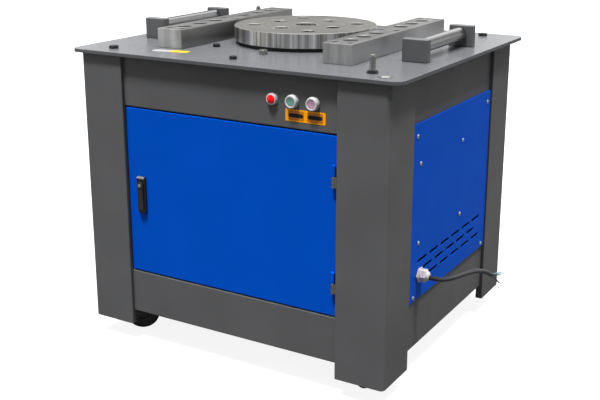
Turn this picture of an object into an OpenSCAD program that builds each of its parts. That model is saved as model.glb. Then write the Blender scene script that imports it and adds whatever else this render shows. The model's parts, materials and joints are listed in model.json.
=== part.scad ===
// Rebar bender: a table with a turning disc, pin bars and side rollers on a wheeled cabinet.
// Millimetres, +Z up. Origin on the floor below the disc's centre, -Y is the door side.

/* [Frame] */
// Width over the four legs
frame_w = 930; // [910:5:950]
// Depth over the four legs
frame_d = 820; // [812:2:828]
// Width of a leg's front sheet
leg_w = 138; // [130:1:142]
// Depth of a leg's side sheet
leg_d = 142; // [134:1:146]
// Thickness of the leg sheet
leg_t = 4; // [3:0.5:5]
// Outer radius of the bend in a leg
leg_bend_r = 12; // [8:1:14]
// Depth of the folded edges of a leg
leg_fold = 20; // [16:1:20]
// Height of the legs' lower ends above the floor
foot_z = 50; // [46:1:56]
// Setback of rails, door and panels behind the leg faces
face_step = 10; // [8:1:12]
// Thickness of the rail sheet
rail_t = 3; // [2:0.5:4]
// Lower edge of the bottom rails above the floor
rail_bottom_z = 88; // [84:1:92]

/* [Table] */
// Length of the table plate
table_w = 990; // [984:2:1010]
// Depth of the table plate
table_d = 850; // [848:2:860]
// Thickness of the table plate
table_t = 10; // [8:1:12]
// Height of the table's top face above the floor
table_top_z = 830; // [826:1:834]
// Corner radius of the table plate
table_corner_r = 28; // [15:1:35]

/* [Working disc] */
// Diameter of the working disc
disc_d = 400; // [392:1:410]
// Thickness of the working disc
disc_t = 40; // [34:1:46]
// Gap between the table and the disc
disc_gap = 10; // [9.5:0.5:12]
// Diameter of the pin holes in the disc and in the pin bars
pin_hole_d = 40; // [34:1:42]
// Diameter of the disc's centre hole
centre_hole_d = 60; // [50:1:62]
// Width of the key slot beside the centre hole
key_slot_w = 16; // [10:1:20]
// Radius of the outer ring of pin holes
outer_pin_r = 144; // [140:1:150]
// Radius of the inner ring of pin holes
inner_pin_r = 100; // [96:1:104]

/* [Pin bars] */
// Distance of a pin bar's middle from the disc's centre
bar_x = 258; // [255:1:266]
// Width of a pin bar
bar_w = 82; // [74:1:86]
// Length of a pin bar
bar_l = 580; // [570:5:600]
// Height of a pin bar above the table
bar_h = 52; // [44:1:56]
// Distance of the first pin hole from the middle of the bar
bar_first_y = 75; // [70:1:78]
// Distance between the pin holes of one group
bar_pitch = 72.5; // [66:0.5:74]

/* [Side rollers] */
// Distance of the rollers from the disc's centre
roller_x = 408; // [404:1:414]
// Diameter of a roller
roller_d = 37; // [32:1:42]
// Length over the two brackets of one roller
roller_unit_l = 332; // [310:2:350]
// Width of a roller bracket
bracket_w = 70; // [60:1:74]
// Thickness of a roller bracket
bracket_t = 28; // [22:1:32]
// Height of a roller bracket
bracket_h = 58; // [54:1:64]
// Height of the roller axis above the table
roller_axis_h = 35; // [32:1:38]

/* [Controls] */
// Height of the push buttons above the floor
button_z = 753; // [748:1:758]
// Position of the signal lamp across the front rail
lamp_x = 143; // [135:1:150]
// Distance between lamp and buttons
button_pitch = 58; // [50:1:60]
// Travel of a push button
button_travel = 5; // [3:0.5:5]

/* [Door] */
// Lower edge of the door above the floor
door_z0 = 217; // [216:1:220]
// Upper edge of the door above the floor
door_z1 = 681; // [676:1:682]
// Gap round the door
door_gap = 3; // [2.5:0.5:4]
// Thickness of the door and panel sheet
skin_t = 2; // [1.5:0.5:2.5]
// Depth of the door's folded edges
door_fold = 20; // [14:1:22]
// Diameter of the hinge barrels
hinge_d = 11; // [10:0.5:11]

/* [Drive] */
// Teeth of the large output gear
z_out = 64; // [60:1:66]
// Teeth of the pinion that drives the output gear
z_pin3 = 16; // [16:1:18]
// Teeth of the large gear on the second shaft
z_gear2 = 60; // [56:1:62]
// Teeth of the pinion that drives the second shaft
z_pin2 = 17; // [16:1:18]
// Teeth of the large gear on the first shaft
z_gear1 = 56; // [52:1:58]
// Teeth of the pinion on the input shaft
z_pin1 = 18; // [17:1:19]
// Radius of the large V-belt pulley
big_pulley_r = 80; // [76:1:84]
// Radius of the motor's V-belt pulley
small_pulley_r = 40; // [38:1:44]

/* [Casters] */
// Diameter of the caster wheels
wheel_d = 100; // [94:1:100]
// Width of the caster wheels
wheel_w = 38; // [32:1:38]
// Trail of the swivelling casters
trail = 32; // [26:1:34]

/* [Power cable] */
// Diameter of the power cable's sheath
cable_d = 12; // [10:0.5:13]

/* [Hidden] */
$fn = 48;
e = 0.05;                                   // running clearance of shafts in their bores
sink = 1;                                   // how far a cutting shape passes a face

frame_y0 = -table_d / 2 + 10;               // front face of the legs
frame_y1 = frame_y0 + frame_d;              // rear face of the legs
frame_cy = (frame_y0 + frame_y1) / 2;
face_y0 = frame_y0 + face_step;             // front face of rails and door
face_y1 = frame_y1 - face_step;             // rear face of the rear rails
face_x = frame_w / 2 - face_step;           // outer face of the side rails
open_x = frame_w / 2 - leg_w;               // half the opening between the front legs
open_y0 = frame_y0 + leg_d;                 // opening between the legs of one side
open_y1 = frame_y1 - leg_d;
under_z = table_top_z - table_t;            // underside of the table plate
rail_flange = 20;
rail_end_gap = 0.2;                         // weld gap at butted ends
side_rail_z = 650;                          // lower edge of the top rails at sides and rear
side_bottom_top_z = 250;                    // upper edge of the bottom rails there

disc_z0 = table_top_z + disc_gap;
disc_z1 = disc_z0 + disc_t;
lift_hole_r = 128;                          // pitch radius of the disc's lifting holes
lift_hole_d = 12;
outer_pin_a = 33;                           // angle of the first outer pin hole
inner_pin_a = -12;                          // angle of the first inner pin hole
seal_r1 = 190;
seal_r0 = 172;

panel_proud = 6;                            // how far a panel stands off the rails
panel_gap = 4;
panel_z0 = 225;
panel_z1 = 694;
panel_y0 = open_y0 + panel_gap;
panel_y1 = open_y1 - panel_gap;
panel_cy = (panel_y0 + panel_y1) / 2;
slot_l = 56;
slot_h = 7;
slot_pitch = 75;
vent_z = [330, 303, 276];
gland_y = -210;
gland_z = 291;

hinge_x = open_x - hinge_d / 2 - 3.5;       // door hinge axis
hinge_y = face_y0 - hinge_d / 2 - 0.5;
hinge_len = 57;
hinge_zs = [582, 308];                      // middles of the two hinges
latch_x = -279;
latch_z = 441;
latch_shaft_z = 470;
latch_case_t = 8;

// Shaft centres: the pitch distances give every gear pair its mesh
m3 = 4;
m2 = 3;
m1 = 2.5;
mesh3_a = 150;
mesh2_a = 230;
mesh1_a = 290;
function polar(r, a) = [r * cos(a), r * sin(a)];
shaft2_p = polar((z_out + z_pin3) * m3 / 2, mesh3_a);
shaft1_p = shaft2_p + polar((z_gear2 + z_pin2) * m2 / 2, mesh2_a);
input_p = shaft1_p + polar((z_gear1 + z_pin1) * m1 / 2, mesh1_a);
motor_p = [-290, 235];

case_z0 = 622;
case_lid_t = 14;
case_wall = 10;
cav_x0 = -297;
cav_x1 = 148;
cav_y0 = -144;
cav_y1 = 183;
cav_z1 = under_z - case_lid_t;
main_r = 45;                                // upper main shaft
main_low_r = 35;
shaft2_r = 20;
shaft1_r = 16;
input_r = 14;
out_z = 636;
gear2_z = 700;
gear1_z = 745;
pulley_z = 540;
pulley_h = 60;
belt_w = 9;
belt_h = 8;
belt_pitch = 18;
motor_r = 100;
motor_plate_z = 520;
motor_plate_t = 10;
motor_h = 260;

caster_plate_z = 126;
base_z = 136;                               // underside of the base tubes
base_x = 338;
swivel_y = -307;
rear_wheel_y = 297;
wheel_r = wheel_d / 2;
axle_r = 6;
front_trail_a = 210;                        // trail direction of the left front caster

// Route of the power cable from the gland's tip, points chosen by hand
cable_route = [
    [491, -210, 288], [506, -210, 287], [520, -208, 287], [533, -203, 288], [545, -195, 290],
    [555, -184, 291], [563, -171, 292], [570, -157, 292], [576, -142, 291], [581, -127, 289],
    [586, -112, 286], [590, -97, 282], [594, -82, 277], [597, -68, 271], [600, -54, 265]
];
core_d = 3.6;
cores = [
    [[600.6, -51.2, 266.4], [603, -40, 263], [607, -26, 261], [611, -12, 258], [614, 0, 253]],
    [[597.8, -52.6, 263.4], [600, -42, 260], [604, -28, 256], [608, -13, 252], [610, 1, 247]],
    [[602.4, -53.4, 261.4], [606, -44, 255], [609, -36, 246], [612, -27, 237], [616, -18, 230]]
];
core_colors = ["steelblue", "steelblue", "black"];

// ---------- helpers ----------
module rounded(w, h, r) {
    square([w - 2 * r, h], center = true);
    square([w, h - 2 * r], center = true);
    for (x = [-1, 1], y = [-1, 1])
        translate([x * (w / 2 - r), y * (h / 2 - r)]) circle(r);
}

module slab(w, d, h, r) {
    linear_extrude(h) rounded(w, d, r);
}

module ring(r0, r1, h) {
    difference() {
        cylinder(r = r1, h = h);
        translate([0, 0, -sink]) cylinder(r = r0, h = h + 2 * sink);
    }
}

module mirror_x(on) {
    if (on) mirror([1, 0, 0]) children();
    else children();
}

// Swept tube: a ring of points at each point of the route, closed at both ends
function unit(v) = v / norm(v);
function along(p, i) = unit(p[min(i + 1, len(p) - 1)] - p[max(i - 1, 0)]);
function across(t) = unit(cross([0, 0, 1], t));
module tube(p, d, sides) {
    n = len(p);
    pts = [for (i = [0 : n - 1]) let (t = along(p, i), u = across(t), v = cross(t, u))
        for (k = [0 : sides - 1])
            p[i] + d / 2 * (cos(360 * k / sides) * u + sin(360 * k / sides) * v)];
    wall = [for (i = [0 : n - 2], k = [0 : sides - 1]) let (j = (k + 1) % sides)
        [i * sides + k, (i + 1) * sides + k, (i + 1) * sides + j, i * sides + j]];
    first = [[for (k = [0 : sides - 1]) k]];
    last = [[for (k = [sides - 1 : -1 : 0]) (n - 1) * sides + k]];
    polyhedron(points = pts, faces = concat(wall, first, last));
}

// Involute spur gear with stub teeth; the first tooth points along +X
pressure_a = 20;
addendum = 0.8;
dedendum = 1.1;
flank_play = 0.1;                           // material taken off each flank
flank_steps = 3;
function roll(r, rb) = r <= rb ? 0 : sqrt((r / rb) ^ 2 - 1) * 180 / PI;
function inv_a(r, rb) = roll(r, rb) - atan(roll(r, rb) * PI / 180);
function flank(z, m, s) =
    let (rp = z * m / 2, rb = rp * cos(pressure_a), r0 = rp - dedendum * m,
         r = r0 + (addendum + dedendum) * m * s,
         half = 90 / z - flank_play / rp * 180 / PI)
    [r, half + inv_a(rp, rb) - inv_a(r, rb)];
function gear_outline(z, m) = [
    for (k = [0 : z - 1])
        for (side = [-1, 1], i = [0 : flank_steps])
            let (s = (side < 0 ? i : flank_steps - i) / flank_steps, f = flank(z, m, s))
            polar(f[0], 360 * k / z + side * f[1])
];
module gear(z, m, h) {
    linear_extrude(h) polygon(gear_outline(z, m));
}

// ---------- frame ----------
module leg_section() {
    r = leg_bend_r;
    translate([r, 0]) square([leg_w - r, leg_t]);
    translate([0, r]) square([leg_t, leg_d - r]);
    translate([leg_w - leg_t, 0]) square([leg_t, leg_fold]);
    translate([0, leg_d - leg_t]) square([leg_fold, leg_t]);
    intersection() {
        square(r);
        translate([r, r]) difference() {
            circle(r);
            circle(r - leg_t);
        }
    }
}

module leg(right, rear) {
    color("dimgray")
    mirror_x(right)
    translate([-frame_w / 2, rear ? frame_y1 : frame_y0, foot_z])
    mirror([0, rear ? 1 : 0, 0])
    linear_extrude(under_z - foot_z) leg_section();
}

// Channel rail: outer face on y = 0, length along +X, flanges towards +Y
module channel(l, h) {
    cube([l, rail_t, h]);
    cube([l, rail_flange, rail_t]);
    translate([0, 0, h - rail_t]) cube([l, rail_flange, rail_t]);
}

module front_top_rail() {
    z0 = door_z1 + door_gap;
    l = 2 * (open_x - rail_end_gap);
    color("dimgray")
    difference() {
        translate([-l / 2, face_y0, z0]) channel(l, under_z - z0);
        for (i = [0 : 2]) translate([lamp_x + i * button_pitch, face_y0 - sink, button_z])
            rotate([-90, 0, 0]) cylinder(r = 11.2, h = rail_t + 2 * sink);
    }
}

module front_bottom_rail() {
    l = 2 * (open_x - rail_end_gap);
    color("dimgray")
    translate([-l / 2, face_y0, rail_bottom_z])
    channel(l, door_z0 - door_gap - rail_bottom_z);
}

module side_rail(z0, z1) {
    l = open_y1 - open_y0 - 2 * rail_end_gap;
    translate([face_x, open_y0 + rail_end_gap, z0]) rotate([0, 0, 90]) channel(l, z1 - z0);
}

module side_rails() {
    color("dimgray")
    for (s = [false, true]) mirror_x(s) {
        side_rail(rail_bottom_z, side_bottom_top_z);
        side_rail(side_rail_z, under_z);
    }
}

module rear_rails() {
    l = 2 * (open_x - rail_end_gap);
    color("dimgray")
    for (z = [[rail_bottom_z, side_bottom_top_z], [side_rail_z, under_z]])
        translate([l / 2, face_y1, z[0]]) rotate([0, 0, 180]) channel(l, z[1] - z[0]);
}

// Two box tubes from front to rear, and two between them
module box_tube(l) {
    difference() {
        translate([-25, 0, 0]) cube([50, l, 50]);
        translate([-21, -sink, 4]) cube([42, l + 2 * sink, 42]);
    }
}

module base_crossmembers() {
    y0 = frame_y0 + leg_fold + rail_end_gap;
    y1 = frame_y1 - leg_fold - rail_end_gap;
    half = base_x - 25 - rail_end_gap;
    color("dimgray") {
        for (s = [-1, 1]) translate([s * base_x, y0, base_z]) box_tube(y1 - y0);
        for (y = [-200, 200]) translate([half, y, base_z]) rotate([0, 0, 90]) box_tube(2 * half);
    }
}

module table_plate() {
    color("darkgray")
    difference() {
        translate([0, 0, under_z]) slab(table_w, table_d, table_t, table_corner_r);
        translate([0, 0, under_z - sink]) cylinder(r = 62, h = table_t + 2 * sink);
        for (s = [1, -1]) translate([s * 436, s * -383, under_z - sink]) {
            cylinder(r = 13, h = table_t + 2 * sink);
            translate([0, 0, table_t + sink - 5]) cylinder(r1 = 13, r2 = 19, h = 5.01);
        }
        for (p = table_bolt_ps) translate([p[0], p[1], under_z - sink])
            cylinder(r = 6, h = table_t + 2 * sink);
    }
}

// Tray-shaped panel on the right-hand rails, screwed on at the corners
module panel_tray(w, h) {
    difference() {
        translate([-w / 2, -panel_proud, 0]) cube([w, panel_proud, h]);
        translate([-w / 2 + skin_t, skin_t - panel_proud, skin_t])
            cube([w - 2 * skin_t, panel_proud, h - 2 * skin_t]);
        for (i = [0 : 2], k = [0 : (i == 1 ? 4 : 5)])
            translate([(k - (i == 1 ? 2 : 2.5)) * slot_pitch, -panel_proud - sink, vent_z[i] - panel_z0])
                rotate([-90, 0, 0])
                linear_extrude(skin_t + 2 * sink) rounded(slot_l, slot_h, slot_h / 2 - 0.01);
        for (x = [-1, 1], z = [12, h - 30]) translate([x * (w / 2 - 24), -panel_proud - sink, z])
            rotate([-90, 0, 0]) cylinder(r = 3.2, h = panel_proud + 2 * sink);
    }
}

module side_panel(right) {
    translate([right ? face_x : -face_x, panel_cy, panel_z0])
    rotate([0, 0, right ? 90 : -90])
    difference() {
        panel_tray(panel_y1 - panel_y0, panel_z1 - panel_z0);
        if (right) {
            translate([gland_y - panel_cy, -panel_proud - sink, gland_z - panel_z0])
                rotate([-90, 0, 0]) cylinder(r = 12, h = panel_proud + 2 * sink);
            for (y = plate_screw_ys, z = plate_screw_zs)
                translate([y - panel_cy, -panel_proud - sink, z - panel_z0])
                rotate([-90, 0, 0]) cylinder(r = 3.2, h = skin_t + 2 * sink);
        }
    }
}

module right_panel() {
    color("royalblue") side_panel(true);
}

module left_panel() {
    color("royalblue") side_panel(false);
}

module rear_panel() {
    color("royalblue")
    translate([0, face_y1, panel_z0]) rotate([0, 0, 180])
    panel_tray(2 * (open_x - panel_gap), panel_z1 - panel_z0);
}

// Pan-head screw along +Y, its head's underside on y = 0
module pan_screw(r, l) {
    rotate([90, 0, 0]) cylinder(r1 = r * 2, r2 = r * 1.5, h = r * 1.1);
    rotate([-90, 0, 0]) cylinder(r = r, h = l);
}

module panel_screws() {
    zs = [panel_z0 + 12, panel_z1 - 30];
    side_w = panel_y1 - panel_y0;
    rear_w = 2 * (open_x - panel_gap);
    color("silver") {
        for (s = [90, -90], x = [-1, 1], z = zs)
            translate([s > 0 ? face_x + panel_proud : -face_x - panel_proud, panel_cy, z])
                rotate([0, 0, s]) translate([x * (side_w / 2 - 24), 0, 0]) pan_screw(3, 6);
        for (x = [-1, 1], z = zs) translate([0, face_y1 + panel_proud, z]) rotate([0, 0, 180])
            translate([x * (rear_w / 2 - 24), 0, 0]) pan_screw(3, 6);
        for (y = plate_screw_ys, z = plate_screw_zs)
            translate([face_x + panel_proud, y, z]) rotate([0, 0, 90]) pan_screw(3, 1.9);
    }
}

// ---------- table hardware ----------
table_bolt_ps = [
    [-388, -368], [388, 368], [386, -350], [-386, 350],
    [-163, -205], [163, 205], [-8, -352], [8, 352], [16, -248], [-16, 248]
];

module hex_bolt(head_h, across_flats) {
    cylinder(r = across_flats / sqrt(3), h = head_h, $fn = 6);
    translate([0, 0, -table_t - 4]) cylinder(r = 6, h = table_t + 4);
}

module stud() {
    translate([0, 0, -table_t - 4]) cylinder(r = 6, h = table_t + 4);
    cylinder(r1 = 14, r2 = 12, h = 6);
    translate([0, 0, 6]) cylinder(r = 7.5, h = 32);
    translate([0, 0, 38]) cylinder(r1 = 7.5, r2 = 3.5, h = 7);
}

module table_bolts() {
    color("darkslategray")
    for (i = [0 : len(table_bolt_ps) - 1])
        translate([table_bolt_ps[i][0], table_bolt_ps[i][1], table_top_z])
            if (i == 2 || i == 3) stud();
            else if (i < 8) hex_bolt(8, i < 2 ? 24 : 19);
            else hex_bolt(12, 22);
}

bar_pin_ys = [for (k = [0 : 2]) bar_first_y + k * bar_pitch];
bar_screw_ys = [-262, 0, 262];
bar_screw_dx = 22;

module pin_hole(h) {
    translate([0, 0, -sink]) cylinder(r = pin_hole_d / 2, h = h + 2 * sink);
    translate([0, 0, h - 2]) cylinder(r1 = pin_hole_d / 2, r2 = pin_hole_d / 2 + 2.01, h = 2.01);
}

module pin_bar(x) {
    color("silver")
    translate([x, 0, table_top_z])
    difference() {
        slab(bar_w, bar_l, bar_h, 3);
        for (s = [-1, 1], y = bar_pin_ys) translate([0, s * y, 0]) pin_hole(bar_h);
        for (s = [-1, 1], y = bar_screw_ys) translate([s * bar_screw_dx, y, -sink]) {
            cylinder(r = 6.5, h = bar_h + 2 * sink);
            translate([0, 0, bar_h + sink - 13]) cylinder(r = 10, h = 13 + sink);
        }
    }
}

module left_pin_bar() {
    pin_bar(-bar_x);
}

module right_pin_bar() {
    pin_bar(bar_x);
}

module socket_screw() {
    difference() {
        union() {
            cylinder(r = 6.2, h = bar_h - 13);
            translate([0, 0, bar_h - 13]) cylinder(r = 9.5, h = 12);
        }
        translate([0, 0, bar_h - 7]) cylinder(r = 5.8, h = 12, $fn = 6);
    }
}

module pin_bar_screws() {
    color("dimgray")
    for (b = [-1, 1], s = [-1, 1], y = bar_screw_ys)
        translate([b * bar_x + s * bar_screw_dx, y, table_top_z]) socket_screw();
}

module roller_brackets() {
    y = roller_unit_l / 2 - bracket_t / 2;
    color("gray")
    for (sx = [-1, 1], sy = [-1, 1]) translate([sx * roller_x, sy * y, table_top_z])
        difference() {
            slab(bracket_w, bracket_t, bracket_h, 8);
            translate([0, 0, roller_axis_h]) rotate([90, 0, 0])
                cylinder(r = 8 + e, h = bracket_t + 2 * sink, center = true);
        }
}

module roller(x) {
    body_l = roller_unit_l - 2 * bracket_t - 1;
    color("silver")
    translate([x, 0, table_top_z + roller_axis_h]) rotate([90, 0, 0]) {
        cylinder(r = roller_d / 2, h = body_l, center = true);
        cylinder(r = 8, h = body_l + 2 * bracket_t - 8, center = true);
    }
}

module left_roller() {
    roller(-roller_x);
}

module right_roller() {
    roller(roller_x);
}

module disc_seal() {
    color("black")
    translate([0, 0, table_top_z]) ring(seal_r0, seal_r1, disc_gap - 0.5);
}

// ---------- controls on the front rail ----------
module at_button(i) {
    translate([lamp_x + i * button_pitch, face_y0, button_z]) rotate([90, 0, 0]) children();
}

module control_bezels() {
    color("gainsboro") {
        at_button(0) ring(11.8, 16, 9);
        for (i = [1, 2]) at_button(i) difference() {
            union() {
                cylinder(r = 17, h = 8);
                translate([0, 0, 8]) cylinder(r1 = 17, r2 = 15, h = 6);
            }
            translate([0, 0, -sink]) cylinder(r = 11.2, h = 14 + 2 * sink);
        }
    }
}

module lamp_lens() {
    color("red")
    at_button(0) translate([0, 0, -2]) intersection() {
        cylinder(r = 11, h = 22);
        translate([0, 0, 8]) sphere(r = 13);
    }
}

module button_cap(i) {
    at_button(i) {
        translate([0, 0, 3]) cylinder(r = 10.8, h = 16);
        translate([0, 0, -10]) cylinder(r = 5, h = 13);
    }
}

module green_button() {
    color("green") button_cap(1);
}

module red_button() {
    color("crimson") button_cap(2);
}

module switch_bodies() {
    color("dimgray")
    for (i = [0 : 2]) at_button(i) difference() {
        translate([-15, -21, -rail_t - 45]) cube([30, 42, 45]);
        translate([0, 0, -rail_t - 15]) cylinder(r = 6, h = 16);
    }
}

module labels() {
    color("orange")
    translate([lamp_x + 1.6 * button_pitch, face_y0, 718]) rotate([90, 0, 0]) slab(112, 30, 0.8, 3);
    color("gold")
    translate([-223, -331, table_top_z]) rotate([0, 0, 12]) slab(104, 28, 0.5, 8);
}

// ---------- power cable ----------
module cable_gland() {
    x = face_x + panel_proud;
    color("white")
    translate([x, gland_y, gland_z]) rotate([0, 90, 0]) {
        translate([0, 0, -8]) cylinder(r = 11.9, h = 8);
        cylinder(r = 20, h = 9, $fn = 6);
        translate([0, 0, 9]) cylinder(r = 17, h = 7);
        translate([0, 0, 16]) cylinder(r1 = 16, r2 = 12, h = cable_route[0][0] - x - 16);
    }
}

module power_cable() {
    color("dimgray") tube(cable_route, cable_d, 10);
}

module cable_cores() {
    for (i = [0 : 2]) color(core_colors[i]) tube(cores[i], core_d, 8);
}

// ---------- door ----------
module door_panel() {
    x0 = -open_x + door_gap;
    x1 = open_x - door_gap;
    color("royalblue")
    difference() {
        translate([x0, face_y0, door_z0]) cube([x1 - x0, door_fold, door_z1 - door_z0]);
        translate([x0 + skin_t, face_y0 + skin_t, door_z0 + skin_t])
            cube([x1 - x0 - 2 * skin_t, door_fold, door_z1 - door_z0 - 2 * skin_t]);
        translate([latch_x, face_y0 - sink, latch_shaft_z]) rotate([-90, 0, 0])
            cylinder(r = 8, h = skin_t + 2 * sink);
    }
}

module frame_hinge_barrels() {
    color("silver")
    for (z = hinge_zs) translate([hinge_x, hinge_y, z - hinge_len / 2]) {
        cylinder(r = hinge_d / 2, h = hinge_len / 2 - 0.3);
        cylinder(r = 3, h = hinge_len - 3);
        translate([0, -2, 0]) cube([open_x - hinge_x - rail_end_gap, 4, hinge_len / 2 - 0.3]);
    }
}

module door_hinge_barrels() {
    color("royalblue")
    for (z = hinge_zs) translate([hinge_x, hinge_y, z]) difference() {
        union() {
            cylinder(r = hinge_d / 2, h = hinge_len / 2);
            translate([-5, 0, 0]) cube([4, face_y0 - hinge_y, hinge_len / 2]);
        }
        translate([0, 0, -sink]) cylinder(r = 3 + e, h = hinge_len / 2 - 2 + sink);
    }
}

module latch_case() {
    color("black")
    translate([latch_x, face_y0, latch_z]) rotate([90, 0, 0]) difference() {
        slab(29, 104, latch_case_t, 5);
        translate([0, latch_shaft_z - latch_z, -sink]) cylinder(r = 6 + e, h = latch_case_t + 2 * sink);
    }
}

// Lever, lock shaft and tongue turn as one; the tongue is stored clear of the leg
module latch_lever() {
    tongue_y = -door_fold - 5;
    color("black")
    translate([latch_x, face_y0, latch_shaft_z]) rotate([90, 0, 0]) {
        translate([0, 0, latch_case_t + 0.5]) cylinder(r = 12.5, h = 9.5);
        translate([-10, -72, latch_case_t + 0.5]) cube([20, 72, 8]);
        translate([0, 0, tongue_y]) cylinder(r = 6, h = latch_case_t + 0.5 - tongue_y);
        translate([-8, -8, tongue_y]) cube([16, 68, 4]);
    }
}

// ---------- disc and gears ----------
module work_disc() {
    color("silver")
    translate([0, 0, disc_z0]) difference() {
        cylinder(r = disc_d / 2, h = disc_t, $fn = 96);
        translate([0, 0, -sink]) cylinder(r = centre_hole_d / 2, h = disc_t + 2 * sink);
        translate([0, -key_slot_w / 2, -sink])
            cube([centre_hole_d / 2 + 6, key_slot_w, disc_t + 2 * sink]);
        for (k = [0 : 3]) {
            translate(polar(outer_pin_r, outer_pin_a + 90 * k)) pin_hole(disc_t);
            translate(polar(inner_pin_r, inner_pin_a + 90 * k)) pin_hole(disc_t);
        }
        for (a = [78, 258]) translate(polar(lift_hole_r, a)) translate([0, 0, -sink])
            cylinder(r = lift_hole_d / 2, h = disc_t + 2 * sink);
    }
}

module main_shaft() {
    flange_z = disc_z0 - 8;
    color("silver")
    difference() {
        union() {
            translate([0, 0, case_z0 - 13]) cylinder(r = main_low_r, h = out_z - case_z0 + 13);
            translate([0, 0, out_z]) cylinder(r = 42, h = 50);
            translate([0, 0, out_z + 50]) cylinder(r = 52, h = 10);
            translate([0, 0, out_z + 60]) cylinder(r = main_r, h = flange_z - out_z - 60);
            translate([0, 0, flange_z]) cylinder(r = 75, h = 8);
        }
        translate([0, 0, disc_z0 - 70]) cylinder(r = centre_hole_d / 2 + 0.5, h = 70 + sink);
    }
}

module output_gear() {
    color("darkgray")
    translate([0, 0, out_z]) difference() {
        rotate([0, 0, mesh3_a]) gear(z_out, m3, 50);
        translate([0, 0, -sink]) cylinder(r = 42, h = 50 + 2 * sink);
        for (a = [0 : 60 : 300]) translate(polar(84, a)) translate([0, 0, -sink])
            cylinder(r = 22, h = 50 + 2 * sink);
    }
}

module second_gear_shaft() {
    color("darkgray")
    translate(shaft2_p) {
        translate([0, 0, case_z0 - 13]) cylinder(r = shaft2_r, h = under_z - case_z0 + 11);
        translate([0, 0, out_z - 2]) rotate([0, 0, mesh3_a + 180 + 180 / z_pin3]) gear(z_pin3, m3, 54);
        translate([0, 0, gear2_z]) rotate([0, 0, mesh2_a]) gear(z_gear2, m2, 30);
    }
}

module first_gear_shaft() {
    color("darkgray")
    translate(shaft1_p) {
        translate([0, 0, case_z0 - 13]) cylinder(r = shaft1_r, h = under_z - case_z0 + 11);
        translate([0, 0, gear2_z - 2]) rotate([0, 0, mesh2_a + 180 + 180 / z_pin2]) gear(z_pin2, m2, 34);
        translate([0, 0, gear1_z]) rotate([0, 0, mesh1_a]) gear(z_gear1, m1, 22);
    }
}

module input_shaft() {
    color("darkgray")
    translate(input_p) {
        translate([0, 0, pulley_z - 6]) cylinder(r = input_r, h = under_z - pulley_z + 4);
        translate([0, 0, gear1_z - 2]) rotate([0, 0, mesh1_a + 180 + 180 / z_pin1]) gear(z_pin1, m1, 26);
    }
}

// ---------- gearbox ----------
shafts = [
    [[0, 0], main_low_r, main_r, 55, 62],
    [shaft2_p, shaft2_r, shaft2_r, 36, 36],
    [shaft1_p, shaft1_r, shaft1_r, 30, 30],
    [input_p, input_r, input_r, 27, 27]
];

module case_block(z0, h) {
    translate([cav_x0 - case_wall, cav_y0 - case_wall, z0])
        cube([cav_x1 - cav_x0 + 2 * case_wall, cav_y1 - cav_y0 + 2 * case_wall, h]);
}

module gearbox_case() {
    color("slategray")
    difference() {
        case_block(case_z0, under_z - case_z0);
        translate([cav_x0, cav_y0, case_z0 - sink])
            cube([cav_x1 - cav_x0, cav_y1 - cav_y0, cav_z1 - case_z0 + sink]);
        for (s = shafts) translate([s[0][0], s[0][1], cav_z1 - sink])
            cylinder(r = s[4], h = case_lid_t + 2 * sink);
    }
}

module gearbox_cover() {
    color("slategray")
    difference() {
        case_block(case_z0 - case_lid_t, case_lid_t);
        for (s = shafts) translate([s[0][0], s[0][1], case_z0 - case_lid_t - sink])
            cylinder(r = s[3], h = case_lid_t + 2 * sink);
    }
}

module shaft_bearings() {
    color("lightgray")
    for (s = shafts) {
        translate([s[0][0], s[0][1], case_z0 - case_lid_t]) ring(s[1] + e, s[3], case_lid_t);
        translate([s[0][0], s[0][1], cav_z1]) ring(s[2] + e, s[4], case_lid_t);
    }
}

// ---------- belt drive and motor ----------
module pulley_profile(r, bore) {
    groove = 10;
    difference() {
        translate([bore, 0]) square([r - bore, pulley_h]);
        for (k = [-1, 0, 1])
            translate([r - belt_h - 2, pulley_h / 2 + k * belt_pitch - groove / 2]) square([12, groove]);
    }
}

module driven_pulley() {
    color("gray")
    translate([input_p[0], input_p[1], pulley_z])
        rotate_extrude() pulley_profile(big_pulley_r, input_r);
}

belt_dist = norm(motor_p - input_p);
belt_dir = atan2(motor_p[1] - input_p[1], motor_p[0] - input_p[0]);
function belt_outline(r1, r2) =
    let (b = acos((r1 - r2) / belt_dist), n1 = 28, n2 = 16)
    concat(
        [for (i = [0 : n1]) polar(r1, belt_dir + b + (360 - 2 * b) * i / n1)],
        [for (i = [0 : n2]) [belt_dist * cos(belt_dir), belt_dist * sin(belt_dir)]
            + polar(r2, belt_dir - b + 2 * b * i / n2)]
    );

module drive_belts() {
    color("black")
    for (k = [-1, 0, 1])
        translate([input_p[0], input_p[1], pulley_z + pulley_h / 2 + k * belt_pitch - belt_w / 2])
            linear_extrude(belt_w) difference() {
                polygon(belt_outline(big_pulley_r - 0.5, small_pulley_r - 0.5));
                polygon(belt_outline(big_pulley_r - belt_h - 0.5, small_pulley_r - belt_h - 0.5));
            }
}

module motor_body() {
    fins = 24;
    color("steelblue")
    translate([motor_p[0], motor_p[1], motor_plate_z - motor_h]) difference() {
        union() {
            cylinder(r = motor_r - 12, h = motor_h - 10);
            translate([0, 0, motor_h - 10]) cylinder(r = motor_r, h = 10);
            cylinder(r = motor_r - 1, h = 46);
            for (k = [0 : fins - 1]) rotate([0, 0, 360 * (k + 0.5) / fins])
                translate([motor_r - 16, -1.5, 40]) cube([14, 3, motor_h - 66]);
            translate([20, -45, 120]) cube([115, 90, 90]);
        }
        translate([0, 0, motor_h - 20]) cylinder(r = 14 + e, h = 20 + sink);
    }
}

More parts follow.
